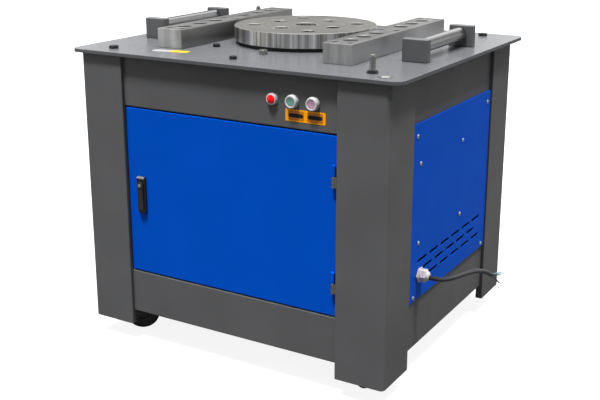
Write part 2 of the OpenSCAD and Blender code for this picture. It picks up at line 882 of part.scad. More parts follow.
module motor_rotor() {
    color("gray")
    translate([motor_p[0], motor_p[1], 0]) {
        translate([0, 0, motor_plate_z - 18]) cylinder(r = 14, h = pulley_z + pulley_h + 4 - motor_plate_z + 18);
        translate([0, 0, pulley_z]) rotate_extrude() pulley_profile(small_pulley_r, 13.9);
    }
}

// Plate that carries the motor, hung from the left and rear top rails
module motor_mount() {
    x0 = -face_x + rail_t + 0.3;
    y1 = face_y1 - rail_t - 0.3;
    plate_x0 = -frame_w / 2 + leg_fold + 0.5;
    plate_y1 = frame_y1 - leg_fold - 0.5;
    top = side_rail_z - 0.3;
    color("dimgray")
    difference() {
        union() {
            translate([plate_x0, 125, motor_plate_z])
                cube([-180 - plate_x0, plate_y1 - 125, motor_plate_t]);
            translate([x0, 125, motor_plate_z]) cube([8, open_y1 - 126, top - motor_plate_z]);
            translate([-open_x + 6, y1 - 8, motor_plate_z]) cube([open_x - 186, 8, top - motor_plate_z]);
        }
        translate([motor_p[0], motor_p[1], motor_plate_z - sink]) cylinder(r = 50, h = motor_plate_t + 2 * sink);
    }
}

// ---------- electrics ----------
plate_screw_ys = [-222, 56];
plate_screw_zs = [380, 590];

module electrical_plate() {
    color("lightgray") {
        translate([438, -240, 362]) cube([2, 314, 246]);
        for (y = plate_screw_ys, z = plate_screw_zs) translate([440, y, z]) rotate([0, 90, 0])
            cylinder(r = 6, h = face_x + panel_proud - skin_t - 440);
    }
}

module control_gear() {
    color("ivory") {
        for (y = [-225, -165]) translate([360, y, 500]) cube([78, 48, 82]);
        translate([388, -100, 505]) cube([50, 60, 70]);
    }
    color("dimgray") {
        translate([348, -60, 385]) cube([90, 100, 85]);
        translate([412, -225, 400]) cube([26, 140, 32]);
    }
}

// ---------- casters ----------
module caster_top_plate() {
    translate([-50, -42.5, caster_plate_z]) cube([100, 85, base_z - caster_plate_z - 0.2]);
}

module king_pin() {
    translate([0, 0, caster_plate_z - 20]) cylinder(r = axle_r, h = 21);
    translate([0, 0, caster_plate_z - 24]) cylinder(r = 10, h = 4);
}

// Cheeks and axle of a caster, wheel centre at x = off on the plate's middle line
module fork_cheeks(off, crown_z, hole_r) {
    inner = wheel_w / 2 + 1.5;
    for (s = [-1, 1]) translate([0, s > 0 ? inner + 4 : -inner, 0]) rotate([90, 0, 0])
        linear_extrude(4) {
            polygon([[-27, crown_z], [27, crown_z], [off + 13, wheel_r], [off - 13, wheel_r]]);
            translate([off, wheel_r]) circle(13);
        }
    difference() {
        translate([-27, -inner - 4, crown_z - 4]) cube([54, 2 * inner + 8, 8]);
        translate([0, 0, crown_z - 5]) cylinder(r = hole_r, h = 10);
    }
    translate([off, 0, wheel_r]) rotate([90, 0, 0])
        cylinder(r = axle_r, h = 2 * inner + 20, center = true);
}

module caster_plates() {
    color("silver") {
        for (s = [-1, 1]) translate([s * base_x, swivel_y, 0]) {
            caster_top_plate();
            king_pin();
        }
        for (s = [-1, 1]) translate([s * base_x, rear_wheel_y, 0]) {
            caster_top_plate();
            rotate([0, 0, 90]) fork_cheeks(0, 122, 1);
        }
    }
}

module swivel_fork(right) {
    color("silver")
    mirror_x(right)
    translate([-base_x, swivel_y, 0]) rotate([0, 0, front_trail_a])
    fork_cheeks(trail, 117.5, axle_r + e);
}

module wheel() {
    rotate([90, 0, 0]) difference() {
        rotate_extrude($fn = 64) union() {
            translate([0, -wheel_w / 2 + 2]) square([wheel_r - 3, wheel_w - 4]);
            translate([0, -wheel_w / 2 + 5]) square([wheel_r, wheel_w - 10]);
            translate([0, -wheel_w / 2]) square([16, wheel_w]);
        }
        cylinder(r = axle_r + e, h = wheel_w + 2 * sink, center = true);
    }
}

module front_wheel(right) {
    color("black")
    mirror_x(right)
    translate([-base_x, swivel_y, 0]) rotate([0, 0, front_trail_a])
    translate([trail, 0, wheel_r]) wheel();
}

module rear_wheel(s) {
    color("black") translate([s * base_x, rear_wheel_y, wheel_r]) rotate([0, 0, 90]) wheel();
}

leg(false, false);  // front_left_leg
leg(true, false);  // front_right_leg
leg(false, true);  // rear_left_leg
leg(true, true);  // rear_right_leg
front_top_rail();
front_bottom_rail();
side_rails();
rear_rails();
base_crossmembers();
table_plate();
right_panel();
left_panel();
rear_panel();
panel_screws();
table_bolts();
left_pin_bar();
right_pin_bar();
pin_bar_screws();
roller_brackets();
left_roller();
right_roller();
disc_seal();
control_bezels();
lamp_lens();
green_button();
red_button();
switch_bodies();
labels();
cable_gland();
power_cable();
cable_cores();
frame_hinge_barrels();
door_hinge_barrels();
door_panel();
latch_case();
latch_lever();
work_disc();
main_shaft();
output_gear();
second_gear_shaft();
first_gear_shaft();
input_shaft();
driven_pulley();
gearbox_case();
gearbox_cover();
shaft_bearings();
drive_belts();
motor_body();
motor_rotor();
motor_mount();
electrical_plate();
control_gear();
caster_plates();
swivel_fork(false);  // front_left_fork
swivel_fork(true);  // front_right_fork
front_wheel(false);  // front_left_wheel
front_wheel(true);  // front_right_wheel
rear_wheel(-1);  // rear_left_wheel
rear_wheel(1);  // rear_right_wheel
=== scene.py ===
"""Rebar bender: the visual model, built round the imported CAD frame. Metres, +Z up, -Y is the door side."""
import json
import math

import bmesh
import bpy
from mathutils import Matrix, Vector
from mathutils.geometry import tessellate_polygon


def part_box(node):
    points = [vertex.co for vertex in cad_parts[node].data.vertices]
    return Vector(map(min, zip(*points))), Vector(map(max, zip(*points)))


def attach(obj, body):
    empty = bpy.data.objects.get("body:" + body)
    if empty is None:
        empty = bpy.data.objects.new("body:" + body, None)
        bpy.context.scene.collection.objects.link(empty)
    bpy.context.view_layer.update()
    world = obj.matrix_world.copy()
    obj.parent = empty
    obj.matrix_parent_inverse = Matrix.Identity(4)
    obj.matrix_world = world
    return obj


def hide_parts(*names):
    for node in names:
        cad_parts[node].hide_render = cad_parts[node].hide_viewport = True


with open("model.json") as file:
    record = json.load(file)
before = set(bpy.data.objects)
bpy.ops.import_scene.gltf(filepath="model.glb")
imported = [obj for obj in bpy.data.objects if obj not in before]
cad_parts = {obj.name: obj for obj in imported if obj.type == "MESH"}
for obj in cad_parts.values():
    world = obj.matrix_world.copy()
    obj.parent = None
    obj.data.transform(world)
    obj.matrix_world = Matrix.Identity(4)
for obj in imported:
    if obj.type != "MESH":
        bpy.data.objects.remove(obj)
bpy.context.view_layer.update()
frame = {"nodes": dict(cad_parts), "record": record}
scene = bpy.context.scene
# Shapes are drawn in millimetres, as part.scad is, and scaled by this when their object is made
MM = 0.001

# ---------- camera ----------
CAMERA_AT = (1.4149, -2.4217, 1.2456)
CAMERA_YAW = 0.5346
CAMERA_PITCH = 0.2755
CAMERA_LENS = 59.63
CAMERA_SHIFT = -0.05

camera = bpy.data.objects.new("camera", bpy.data.cameras.new("camera"))
camera.location = CAMERA_AT
camera.rotation_euler = (math.pi / 2 - CAMERA_PITCH, 0, CAMERA_YAW)
camera.data.lens = CAMERA_LENS
camera.data.sensor_width = 36
camera.data.shift_y = CAMERA_SHIFT
scene.collection.objects.link(camera)
scene.camera = camera


# ---------- material nodes ----------
def add_node(tree, kind, inputs=None, **settings):
    """Adds a shader node; a socket given as an input is linked, any other value is set."""
    made = tree.nodes.new("ShaderNode" + kind)
    for key, value in settings.items():
        setattr(made, key, value)
    for key, value in (inputs or {}).items():
        if isinstance(value, bpy.types.NodeSocket):
            tree.links.new(value, made.inputs[key])
        else:
            made.inputs[key].default_value = value
    return made


def new_material(name, metallic=0.0, **sockets):
    """A material with its own shader, and the object's own coordinates."""
    material = bpy.data.materials.new(name)
    material.use_nodes = True
    tree = material.node_tree
    shader = tree.nodes["Principled BSDF"]
    shader.inputs["Metallic"].default_value = metallic
    for key, value in sockets.items():
        shader.inputs[key.replace("_", " ")].default_value = value
    coords = add_node(tree, "TexCoord").outputs["Object"]
    return material, tree, shader, coords


def noise(tree, coords, scale, detail=3.0, stretch=(1, 1, 1)):
    """Noise of so many cells per metre, stretched along the axes."""
    mapped = add_node(tree, "Mapping", {"Vector": coords, "Scale": stretch}).outputs[0]
    return add_node(tree, "TexNoise", {"Vector": mapped, "Scale": scale, "Detail": detail}).outputs["Fac"]


def remap(tree, value, low, high, start=0.3, end=0.7):
    """The value between start and end spread over low to high."""
    inputs = {"Value": value, "From Min": start, "From Max": end, "To Min": low, "To Max": high}
    return add_node(tree, "MapRange", inputs).outputs[0]


def mix(tree, factor, first, second):
    """Colour mixed between two colours, or between two linked ones."""
    made = add_node(tree, "Mix", {0: factor}, data_type="RGBA")
    for index, value in ((6, first), (7, second)):
        if isinstance(value, bpy.types.NodeSocket):
            tree.links.new(value, made.inputs[index])
        else:
            made.inputs[index].default_value = (*value[:3], 1)
    return made.outputs[2]


def bump(tree, shader, height, distance, strength=1.0):
    """Surface relief of a height between 0 and 1 times distance."""
    inputs = {"Height": height, "Distance": distance, "Strength": strength}
    tree.links.new(add_node(tree, "Bump", inputs).outputs[0], shader.inputs["Normal"])


def edge_mask(tree, radius):
    """1 on edges and corners, 0 on flat faces, from a bevelled normal."""
    bevelled = add_node(tree, "Bevel", {"Radius": radius}, samples=4).outputs[0]
    plain = add_node(tree, "NewGeometry").outputs["Normal"]
    inputs = {0: bevelled, 1: plain}
    dot = add_node(tree, "VectorMath", inputs, operation="DOT_PRODUCT").outputs["Value"]
    return remap(tree, dot, 1.0, 0.0, 0.86, 0.995)


def shade(colour, factor):
    """The colour made lighter or darker."""
    return tuple(min(1.0, c * factor) for c in colour)


def paint(name, colour, rough, vary=0.06, grain=800, relief=0.0000015, worn=0.0, smear=0.05, **sockets):
    """Powder coat or lacquer: slight clouding, orange peel, and lighter edges where it is worn."""
    material, tree, shader, coords = new_material(name, **sockets)
    clouds = noise(tree, coords, 7, 2)
    tone = mix(tree, remap(tree, clouds, 0, 1), shade(colour, 1 - vary), shade(colour, 1 + vary))
    if worn:
        wear = add_node(tree, "Math", {0: edge_mask(tree, 0.001), 1: worn}, operation="MULTIPLY")
        tone = mix(tree, wear.outputs[0], tone, shade(colour, 2.2))
    tree.links.new(tone, shader.inputs["Base Color"])
    smears = noise(tree, coords, 9, 2)
    tree.links.new(remap(tree, smears, rough - smear, rough + smear), shader.inputs["Roughness"])
    if relief:
        bump(tree, shader, noise(tree, coords, grain, 2), relief)
    return material


def brushed(name, colour, rough, stretch, scale=1.0, relief=0.000008, anisotropy=0.0, vary=0.12):
    """Ground, rolled or plated metal: streaks run along the axis with the smallest stretch."""
    material, tree, shader, coords = new_material(name, metallic=1.0, Anisotropic=anisotropy)
    fine = noise(tree, coords, scale, 6, stretch)
    broad = noise(tree, coords, scale * 0.12, 3, stretch)
    tone = mix(tree, remap(tree, broad, 0, 1), shade(colour, 1 - vary), shade(colour, 1 + vary))
    tree.links.new(tone, shader.inputs["Base Color"])
    tree.links.new(remap(tree, fine, rough - 0.07, rough + 0.1), shader.inputs["Roughness"])
    if relief:
        bump(tree, shader, fine, relief)
    return material


def stripes(tree, along, scale, detail, **more):
    """Noise that changes along one number only."""
    inputs = {"W": along, "Scale": scale, "Detail": detail, **more}
    return add_node(tree, "TexNoise", inputs, noise_dimensions="1D").outputs["Fac"]


def angle_round_z(tree, parts):
    """Angle of a point round Z, from its separate coordinates."""
    inputs = {0: parts.outputs[1], 1: parts.outputs[0]}
    return add_node(tree, "Math", inputs, operation="ARCTAN2").outputs[0]


def painted_reflection_bands(tree, parts, tone, colour, depth):
    """Painted reflection: lighter and darker upright bands round the rim, standing in for the bright and
    dark surroundings that a turned edge mirrors.
    """
    bands = stripes(tree, angle_round_z(tree, parts), 5.0, 4.0, Roughness=0.65)
    darker, lighter = shade(colour, 1 - depth), shade(colour, 1 + depth)
    painted_reflection = mix(tree, remap(tree, bands, 0, 1, 0.38, 0.62), darker, lighter)
    normal = add_node(tree, "NewGeometry").outputs["Normal"]
    upward = add_node(tree, "SeparateXYZ", {0: normal}).outputs[2]
    flatness = add_node(tree, "Math", {0: upward}, operation="ABSOLUTE").outputs[0]
    on_rim = remap(tree, flatness, 1, 0, 0.2, 0.6)
    return mix(tree, on_rim, tone, painted_reflection)


def turned(name, colour, rough, pitch=0.0011, relief=0.00001, vary=0.1, anisotropy=0.3, reflection_banding=0.0):
    """Turned metal: rings round Z on the faces, hoops and, where asked, upright bands of painted reflection
    on the rim.
    """
    material, tree, shader, coords = new_material(name, metallic=1.0, Anisotropic=anisotropy)
    parts = add_node(tree, "SeparateXYZ", {0: coords})
    flat = add_node(tree, "CombineXYZ", {0: parts.outputs[0], 1: parts.outputs[1]}).outputs[0]
    radius = add_node(tree, "VectorMath", {0: flat}, operation="LENGTH").outputs["Value"]
    place = add_node(tree, "Math", {0: radius, 1: parts.outputs[2]}, operation="ADD").outputs[0]
    rings = stripes(tree, place, 1 / pitch, 3.0)
    bands = stripes(tree, place, 0.1 / pitch, 2.0)
    clouds = noise(tree, coords, 14, 4)
    tone = mix(tree, remap(tree, bands, 0, 1), shade(colour, 1 - vary), shade(colour, 1 + vary))
    tone = mix(tree, remap(tree, clouds, 0.0, 0.35, 0.35, 0.75), tone, shade(colour, 0.72))
    # Upright bands on the rim, lighter and darker by angle: a painted reflection of the surroundings.
    if reflection_banding:
        tone = painted_reflection_bands(tree, parts, tone, colour, reflection_banding)
    tree.links.new(tone, shader.inputs["Base Color"])
    tree.links.new(remap(tree, rings, rough - 0.06, rough + 0.1), shader.inputs["Roughness"])
    tangent = add_node(tree, "Tangent", direction_type="RADIAL", axis="Z")
    tree.links.new(tangent.outputs[0], shader.inputs["Tangent"])
    bump(tree, shader, rings, relief)
    return material


def moulded(name, colour, rough, vary=0.05, grain=1500, relief=0.0000015, **sockets):
    """Plastic or rubber: fine grain and a slight change of tone."""
    material, tree, shader, coords = new_material(name, **sockets)
    clouds = noise(tree, coords, 40, 3)
    tone = mix(tree, remap(tree, clouds, 0, 1), shade(colour, 1 - vary), shade(colour, 1 + vary))
    tree.links.new(tone, shader.inputs["Base Color"])
    tree.links.new(remap(tree, clouds, rough - 0.04, rough + 0.05), shader.inputs["Roughness"])
    bump(tree, shader, noise(tree, coords, grain, 2), relief)
    return material


def cast(name, colour, rough, **sockets):
    """Painted casting: coarse skin under the paint."""
    return paint(name, colour, rough, vary=0.1, grain=330, relief=0.00008, **sockets)


# One material for each slot that the record names
LOOKS = {
    "frame_paint": paint("frame_paint", (0.08, 0.0805, 0.083), 0.42, worn=0.3, Specular_IOR_Level=0.2),
    "table_paint": paint("table_paint", (0.064, 0.066, 0.07), 0.26, vary=0.03, relief=0, smear=0.02),
    "blue_paint": paint("blue_paint", (0.0, 0.06, 0.42), 0.36, vary=0.03, Specular_IOR_Level=0.03),
    # turned_steel has upright bands of painted reflection on the disc's rim.
    "turned_steel": turned("turned_steel", (0.66, 0.65, 0.62), 0.35, anisotropy=0.15, reflection_banding=0.65),
    # ground_steel's strong broad streaks are grinding streaks. Their strength and width also stand in for
    # the bright upright reflection streak on the bars' ends, so they are partly a painted reflection.
    "ground_steel": brushed("ground_steel", (0.56, 0.557, 0.55), 0.35, (300, 10, 26), vary=0.35),
    "roller_steel": brushed("roller_steel", (0.46, 0.46, 0.46), 0.22, (150, 3, 150), vary=0.3, relief=0),
    "bracket_paint": cast("bracket_paint", (0.07, 0.071, 0.074), 0.36, worn=0.6),
    "black_oxide": brushed("black_oxide", (0.07, 0.07, 0.074), 0.38, (300, 300, 300)),
    "zinc_plate": brushed("zinc_plate", (0.62, 0.62, 0.61), 0.28, (200, 200, 200), vary=0.1,
                          relief=0.000002),
    # Near-black rubber, so the ring under the disc fills the gap below the disc with black: painted shade in
    # that gap.
    "seal_rubber": moulded("seal_rubber", (0.012, 0.012, 0.012), 0.6),
    "bezel_white": moulded("bezel_white", (0.46, 0.46, 0.465), 0.24),
    "lens_red": moulded("lens_red", (0.8, 0.0005, 0.001), 0.1, Specular_IOR_Level=0.35),
    "button_green": moulded("button_green", (0.11, 0.23, 0.19), 0.4),
    "button_red": moulded("button_red", (0.36, 0.2, 0.29), 0.4),
    "black_plastic": moulded("black_plastic", (0.013, 0.013, 0.014), 0.33),
    "label_film": moulded("label_film", (0.84, 0.31, 0.0005), 0.5, Specular_IOR_Level=0.2),
    "gland_nylon": moulded("gland_nylon", (0.5, 0.47, 0.47), 0.35),
    "cable_sheath": moulded("cable_sheath", (0.022, 0.022, 0.023), 0.38),
    "core_blue": moulded("core_blue", (0.05, 0.14, 0.18), 0.35),
    "hinge_steel": brushed("hinge_steel", (0.34, 0.34, 0.325), 0.26, (200, 200, 60)),
    "gear_steel": turned("gear_steel", (0.34, 0.33, 0.31), 0.3, anisotropy=0.2),
    "case_paint": cast("case_paint", (0.09, 0.13, 0.145), 0.42, worn=0.4),
    "belt_rubber": moulded("belt_rubber", (0.018, 0.018, 0.018), 0.65, grain=600, relief=0.00002),
    "pulley_iron": turned("pulley_iron", (0.22, 0.22, 0.22), 0.38, anisotropy=0.1),
    "motor_paint": cast("motor_paint", (0.03, 0.11, 0.2), 0.36, worn=0.3),
    "plate_zinc": paint("plate_zinc", (0.5, 0.51, 0.5), 0.35, vary=0.12),
    "switch_plastic": moulded("switch_plastic", (0.42, 0.41, 0.37), 0.4),
    "wheel_rubber": moulded("wheel_rubber", (0.016, 0.016, 0.017), 0.5),
}
# Materials of details that share a CAD node with another material
EXTRA_LOOKS = {
    "film_white": moulded("film_white", (0.18, 0.18, 0.19), 0.5),
    "film_yellow": moulded("film_yellow", (0.33, 0.22, 0.001), 0.5),
    "film_amber": moulded("film_amber", (0.46, 0.14, 0.0005), 0.5),
    "film_black": moulded("film_black", (0.012, 0.012, 0.013), 0.5, Specular_IOR_Level=0.2),
    "core_black": moulded("core_black", (0.02, 0.02, 0.021), 0.35),
    "copper": brushed("copper", (0.66, 0.42, 0.34), 0.3, (500, 500, 500)),
}
ALL_LOOKS = {**LOOKS, **EXTRA_LOOKS}

for part in frame["record"]["subparts"]:
    for kept_slot in frame["nodes"][part["node"]].material_slots:
        kept_slot.material = LOOKS[part["material_slot"]]


# ---------- outlines ----------
def arc(cx, cy, r, start, end, steps):
    """Points of an arc between two angles in degrees, both ends included."""
    angles = [math.radians(start + (end - start) * i / steps) for i in range(steps + 1)]
    return [(cx + r * math.cos(a), cy + r * math.sin(a)) for a in angles]


def circle(cx, cy, r, steps=48):
    return arc(cx, cy, r, 0, 360 - 360 / steps, steps - 1)


def rounded(x0, y0, x1, y1, r, steps=5):
    """Anticlockwise rectangle with round corners."""
    corners = ((x1 - r, y1 - r, 0), (x0 + r, y1 - r, 90), (x0 + r, y0 + r, 180), (x1 - r, y0 + r, 270))
    return [p for x, y, a in corners for p in arc(x, y, r, a, a + 90, steps)]


def hexagon(cx, cy, flats):
    return arc(cx, cy, flats / math.sqrt(3), 0, 300, 5)


def inset(loop, distance):
    """The loop moved towards its left side, which is the inside of an anticlockwise loop."""
    moved = []
    for i, (x, y) in enumerate(loop):
        normals = []
        for (ax, ay), (bx, by) in ((loop[i - 1], (x, y)), ((x, y), loop[(i + 1) % len(loop)])):
            length = math.hypot(bx - ax, by - ay)
            normals.append(((ay - by) / length, (bx - ax) / length))
        (ux, uy), (vx, vy) = normals
        share = distance / max(0.2, 1 + ux * vx + uy * vy)
        moved.append((x + (ux + vx) * share, y + (uy + vy) * share))
    return moved


def edges(z0, z1, r=0.6, steps=3):
    """Profile of a plate from z0 to z1 with rounded edges, as (inset, height) pairs."""
    turns = [math.pi / 2 * i / steps for i in range(steps + 1)]
    low = [(r * (1 - math.sin(a)), z0 + r * (1 - math.cos(a))) for a in turns]
    high = [(r * (1 - math.cos(a)), z1 - r * (1 - math.sin(a))) for a in turns]
    return low + high


def hole(loop, z0, z1, r=0.4, top=None):
    """A hole right through a plate, with its edges broken by r, or by top at the upper face."""
    top = r if top is None else top
    return loop, [(-r, z0), (0, z0 + r), (0, z1 - top), (-top, z1)], False


def pocket(loop, z0, z1, r=0.3):
    """A blind hole from the upper face z1 down to z0."""
    return loop, [(0, z0), (0, z1 - r), (-r, z1)], True


# ---------- solids ----------
# Edges that turn by more than this stay sharp
SHARP_ANGLE = math.radians(18)
# Vertices closer than this, in millimetres, are welded
WELD = 1e-4


def ring_of(bm, loop, distance, height, matrix):
    """One ring of vertices at a height, and its points, from the loop moved inward by distance."""
    points = inset(loop, distance) if distance else loop
    return [bm.verts.new(matrix @ Vector((x, y, height))) for x, y in points], points


def join_rings(bm, first, second):
    """A band of faces between two rings of as many vertices."""
    count = len(first)
    for i in range(count):
        j = (i + 1) % count
        bm.faces.new((first[i], first[j], second[j], second[i]))


def cap(bm, loops):
    """Fills the area inside the first loop and outside the others."""
    verts = [v for ring, _ in loops for v in ring]
    for triangle in tessellate_polygon([[Vector((x, y, 0)) for x, y in points] for _, points in loops]):
        bm.faces.new([verts[i] for i in triangle])


def shell(bm, outer, profile, holes=(), matrix=Matrix()):
    """A closed solid: the outline moved inward and along Z as its profile says, with holes."""
    made = [ring_of(bm, outer, d, z, matrix) for d, z in profile]
    for a, b in zip(made, made[1:]):
        join_rings(bm, a[0], b[0])
    first, last = [made[0]], [made[-1]]
    for loop, hole_profile, blind in holes:
        rings = [ring_of(bm, loop, d, z, matrix) for d, z in hole_profile]
        for a, b in zip(rings, rings[1:]):
            join_rings(bm, a[0], b[0])
        last.append(rings[-1])
        if blind:
            cap(bm, [rings[0]])
        else:
            first.append(rings[0])
    cap(bm, first)
    cap(bm, last)


def lathe(bm, profile, steps=48, matrix=Matrix()):
    """A solid of revolution round Z from (radius, height) points; closed if it never meets the axis."""
    rings = []
    for r, z in profile:
        if r < 1e-6:
            rings.append([bm.verts.new(matrix @ Vector((0, 0, z)))])
        else:
            rings.append([bm.verts.new(matrix @ Vector((x, y, z))) for x, y in circle(0, 0, r, steps)])
    pairs = list(zip(rings, rings[1:]))
    if len(rings[0]) > 1:
        pairs.append((rings[-1], rings[0]))
    for a, b in pairs:
        for i in range(steps):
            j = (i + 1) % steps
            corners = (a[i % len(a)], a[j % len(a)], b[j % len(b)], b[i % len(b)])
            kept = [v for k, v in enumerate(corners) if v not in corners[:k]]
            if len(kept) > 2:
                bm.faces.new(kept)


def block(bm, low, high, r=0.8, corner=0.0, matrix=Matrix()):
    """A box with rounded edges, and rounder upright corners where asked."""
    outline = rounded(low[0], low[1], high[0], high[1], corner or r, 5 if corner else 2)
    shell(bm, outline, edges(low[2], high[2], r), matrix=matrix)


def hex_head(bm, flats, z0, z1, matrix=Matrix()):
    """A bolt's hexagonal head, chamfered on top."""
    steps = 36
    inner = flats / 2 * 0.95
    low, shoulder, top = [], [], []
    for i in range(steps):
        a = 2 * math.pi * i / steps
        reach = flats / 2 / math.cos(a % (math.pi / 3) - math.pi / 6)
        direction = Vector((math.cos(a), math.sin(a), 0))
        drop = (reach - inner) * math.tan(math.radians(30))
        low.append(bm.verts.new(matrix @ (direction * reach + Vector((0, 0, z0)))))
        shoulder.append(bm.verts.new(matrix @ (direction * reach + Vector((0, 0, z1 - drop)))))
        top.append(bm.verts.new(matrix @ (direction * inner + Vector((0, 0, z1)))))
    join_rings(bm, low, shoulder)
    join_rings(bm, shoulder, top)
    bm.faces.new(top)
    bm.faces.new(low[::-1])


def piece(name, bm, body, look, nodes=()):
    """Makes the object: welded, normals outward, smooth up to the sharp angle; it rides on a body."""
    bmesh.ops.remove_doubles(bm, verts=bm.verts, dist=WELD)
    bmesh.ops.scale(bm, vec=(MM, MM, MM), verts=bm.verts)
    bmesh.ops.recalc_face_normals(bm, faces=bm.faces)
    mesh = bpy.data.meshes.new(name)
    bm.to_mesh(mesh)
    bm.free()
    mesh.shade_smooth()
    mesh.set_sharp_from_angle(angle=SHARP_ANGLE)
    mesh.materials.append(ALL_LOOKS[look])
    made = bpy.data.objects.new(name, mesh)
    scene.collection.objects.link(made)
    weighted = made.modifiers.new("flat_faces", "WEIGHTED_NORMAL")
    weighted.keep_sharp = True
    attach(made, body)
    if nodes:
        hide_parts(*nodes)
    return made


def cut(target, bm):
    """Takes the shape in bm off the target's mesh."""
    bmesh.ops.recalc_face_normals(bm, faces=bm.faces)
    bmesh.ops.scale(bm, vec=(MM, MM, MM), verts=bm.verts)
    mesh = bpy.data.meshes.new("cutter")
    bm.to_mesh(mesh)
    bm.free()
    cutter = bpy.data.objects.new("cutter", mesh)
    scene.collection.objects.link(cutter)
    modifier = target.modifiers.new("cut", "BOOLEAN")
    modifier.object = cutter
    modifier.solver = "EXACT"
    target.modifiers["flat_faces"].show_viewport = False
    bpy.context.view_layer.update()
    evaluated = target.evaluated_get(bpy.context.evaluated_depsgraph_get())
    result = bpy.data.meshes.new_from_object(evaluated)
    target.modifiers.remove(modifier)
    old = target.data
    target.data = result
    result.name = target.name
    bpy.data.objects.remove(cutter)
    bpy.data.meshes.remove(mesh)
    bpy.data.meshes.remove(old)
    target.data.set_sharp_from_angle(angle=SHARP_ANGLE)
    target.modifiers["flat_faces"].show_viewport = True


def place(origin, x_axis, y_axis, z_axis):
    """Matrix that puts local axes along the given directions."""
    rows = [list(values) for values in zip(x_axis, y_axis, z_axis, origin)]
    return Matrix(rows + [[0, 0, 0, 1]])


def facing(side, origin=(0, 0, 0)):
    """Local X along the side, local Y up, local Z outward."""
    along, outward = {
        "front": ((1, 0, 0), (0, -1, 0)),
        "rear": ((-1, 0, 0), (0, 1, 0)),
        "right": ((0, 1, 0), (1, 0, 0)),
        "left": ((0, -1, 0), (-1, 0, 0)),
    }[side]
    return place(origin, along, (0, 0, 1), outward)


def box(node):
    """Lowest and highest corner of a CAD node at rest, in millimetres."""
    low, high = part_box(node)
    return Vector(low) / MM, Vector(high) / MM


def solids(node):
    """The boxes of a CAD node's separate solids in millimetres, in order of their lowest corners."""
    bm = bmesh.new()
    bm.from_mesh(frame["nodes"][node].data)
    bmesh.ops.remove_doubles(bm, verts=bm.verts, dist=1e-6)
    left = set(bm.verts)
    boxes = []
    while left:
        group = [left.pop()]
        for vert in group:
            for edge in vert.link_edges:
                other = edge.other_vert(vert)
                if other in left:
                    left.remove(other)
                    group.append(other)
        low = Vector([min(v.co[i] for v in group) / MM for i in range(3)])
        high = Vector([max(v.co[i] for v in group) / MM for i in range(3)])
        boxes.append((low, high))
    bm.free()
    return sorted(boxes, key=lambda found: [round(c, 1) for c in found[0]])


def middle(found):
    """The middle of a box."""
    return (found[0] + found[1]) / 2


def mount_at(name):
    """Place of one of the record's mounts, in millimetres."""
    found = next(mount for mount in frame["record"]["mounts"] if mount["name"] == name)
    return Vector([value / MM for value in found["pos_m"]])


# ---------- places from the frame ----------
TABLE = box("table_plate")
TABLE_TOP = TABLE[1].z
UNDER = TABLE[0].z
LEG = box("front_left_leg")
LEG_W = LEG[1].x - LEG[0].x
LEG_D = LEG[1].y - LEG[0].y
RAIL = box("front_top_rail")
RAIL_DEPTH = RAIL[1].y - RAIL[0].y
FACE_Y = RAIL[0].y
# Sheet thickness of the legs, of the rails, and of the door and panels
SHEET = 4
RAIL_T = 3
SKIN = 2


# ---------- power cable, first after the camera ----------
CABLE_D = 12
CORE_D = 3.6
COPPER_D = CORE_D * 0.62
# Steps between two points of a route, and how many of a core's last steps are bare
ROUTE_STEPS = 4
BARE_STEPS = 3
CABLE_ROUTE = [
    (491, -210, 288), (506, -210, 288), (520, -208, 288.5), (533, -203, 290), (545, -195, 292.5),
    (555, -184, 295), (563, -171, 297), (570, -157, 298), (576, -142, 297.5), (581, -127, 295.5),
    (586, -112, 292), (590, -97, 287), (594, -82, 280.5), (597, -68, 273), (600, -54, 265),
]
CORE_ROUTES = [
    ("core_blue",
     [(600.6, -51.2, 266.4), (603, -40, 263), (607, -26, 261), (611, -12, 258), (614, 0, 253)]),
    ("core_blue",
     [(597.8, -52.6, 263.4), (600, -42, 260), (604, -28, 256), (608, -13, 252), (610, 1, 247)]),
    ("core_black",
     [(602.4, -53.4, 261.4), (606, -44, 255), (609, -36, 246), (612, -27, 237), (616, -18, 230)]),
]


def wire(name, points, diameter, look, node):
    """A round cable through the points, given in millimetres."""
    curve = bpy.data.curves.new(name, "CURVE")
    curve.dimensions = "3D"
    curve.bevel_depth = diameter / 2 * MM
    curve.bevel_resolution = 6
    curve.use_fill_caps = True
    line = curve.splines.new("POLY")
    line.points.add(len(points) - 1)
    for target, point in zip(line.points, points):
        target.co = (*(c * MM for c in point), 1)
    line.use_smooth = True
    curve.materials.append(ALL_LOOKS[look])
    made = bpy.data.objects.new(name, curve)
    scene.collection.objects.link(made)
    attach(made, "frame")
    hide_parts(node)
    return made


def smooth_route(points, steps):
    """Points along a Catmull-Rom curve through the given ones."""
    ends = [Vector(p) for p in points]
    ends = [2 * ends[0] - ends[1]] + ends + [2 * ends[-1] - ends[-2]]
    made = []
    for a, b, c, d in zip(ends, ends[1:], ends[2:], ends[3:]):
        for i in range(steps):
            t = i / steps
            made.append(0.5 * (2 * b + (c - a) * t + (2 * a - 5 * b + 4 * c - d) * t ** 2
                               + (3 * b - a - 3 * c + d) * t ** 3))
    return made + [ends[-2]]


route = smooth_route(CABLE_ROUTE, ROUTE_STEPS)
cable = wire("power_cable_sheath", route, CABLE_D, "cable_sheath", "power_cable")
for index, (look, points) in enumerate(CORE_ROUTES):
    line = smooth_route(points, ROUTE_STEPS)
    sleeve, tip = line[:-BARE_STEPS], line[-BARE_STEPS - 1:]
    wire(f"cable_core_{index + 1}", sleeve, CORE_D, look, "cable_cores")
    wire(f"cable_core_tip_{index + 1}", tip, COPPER_D, "copper", "cable_cores")


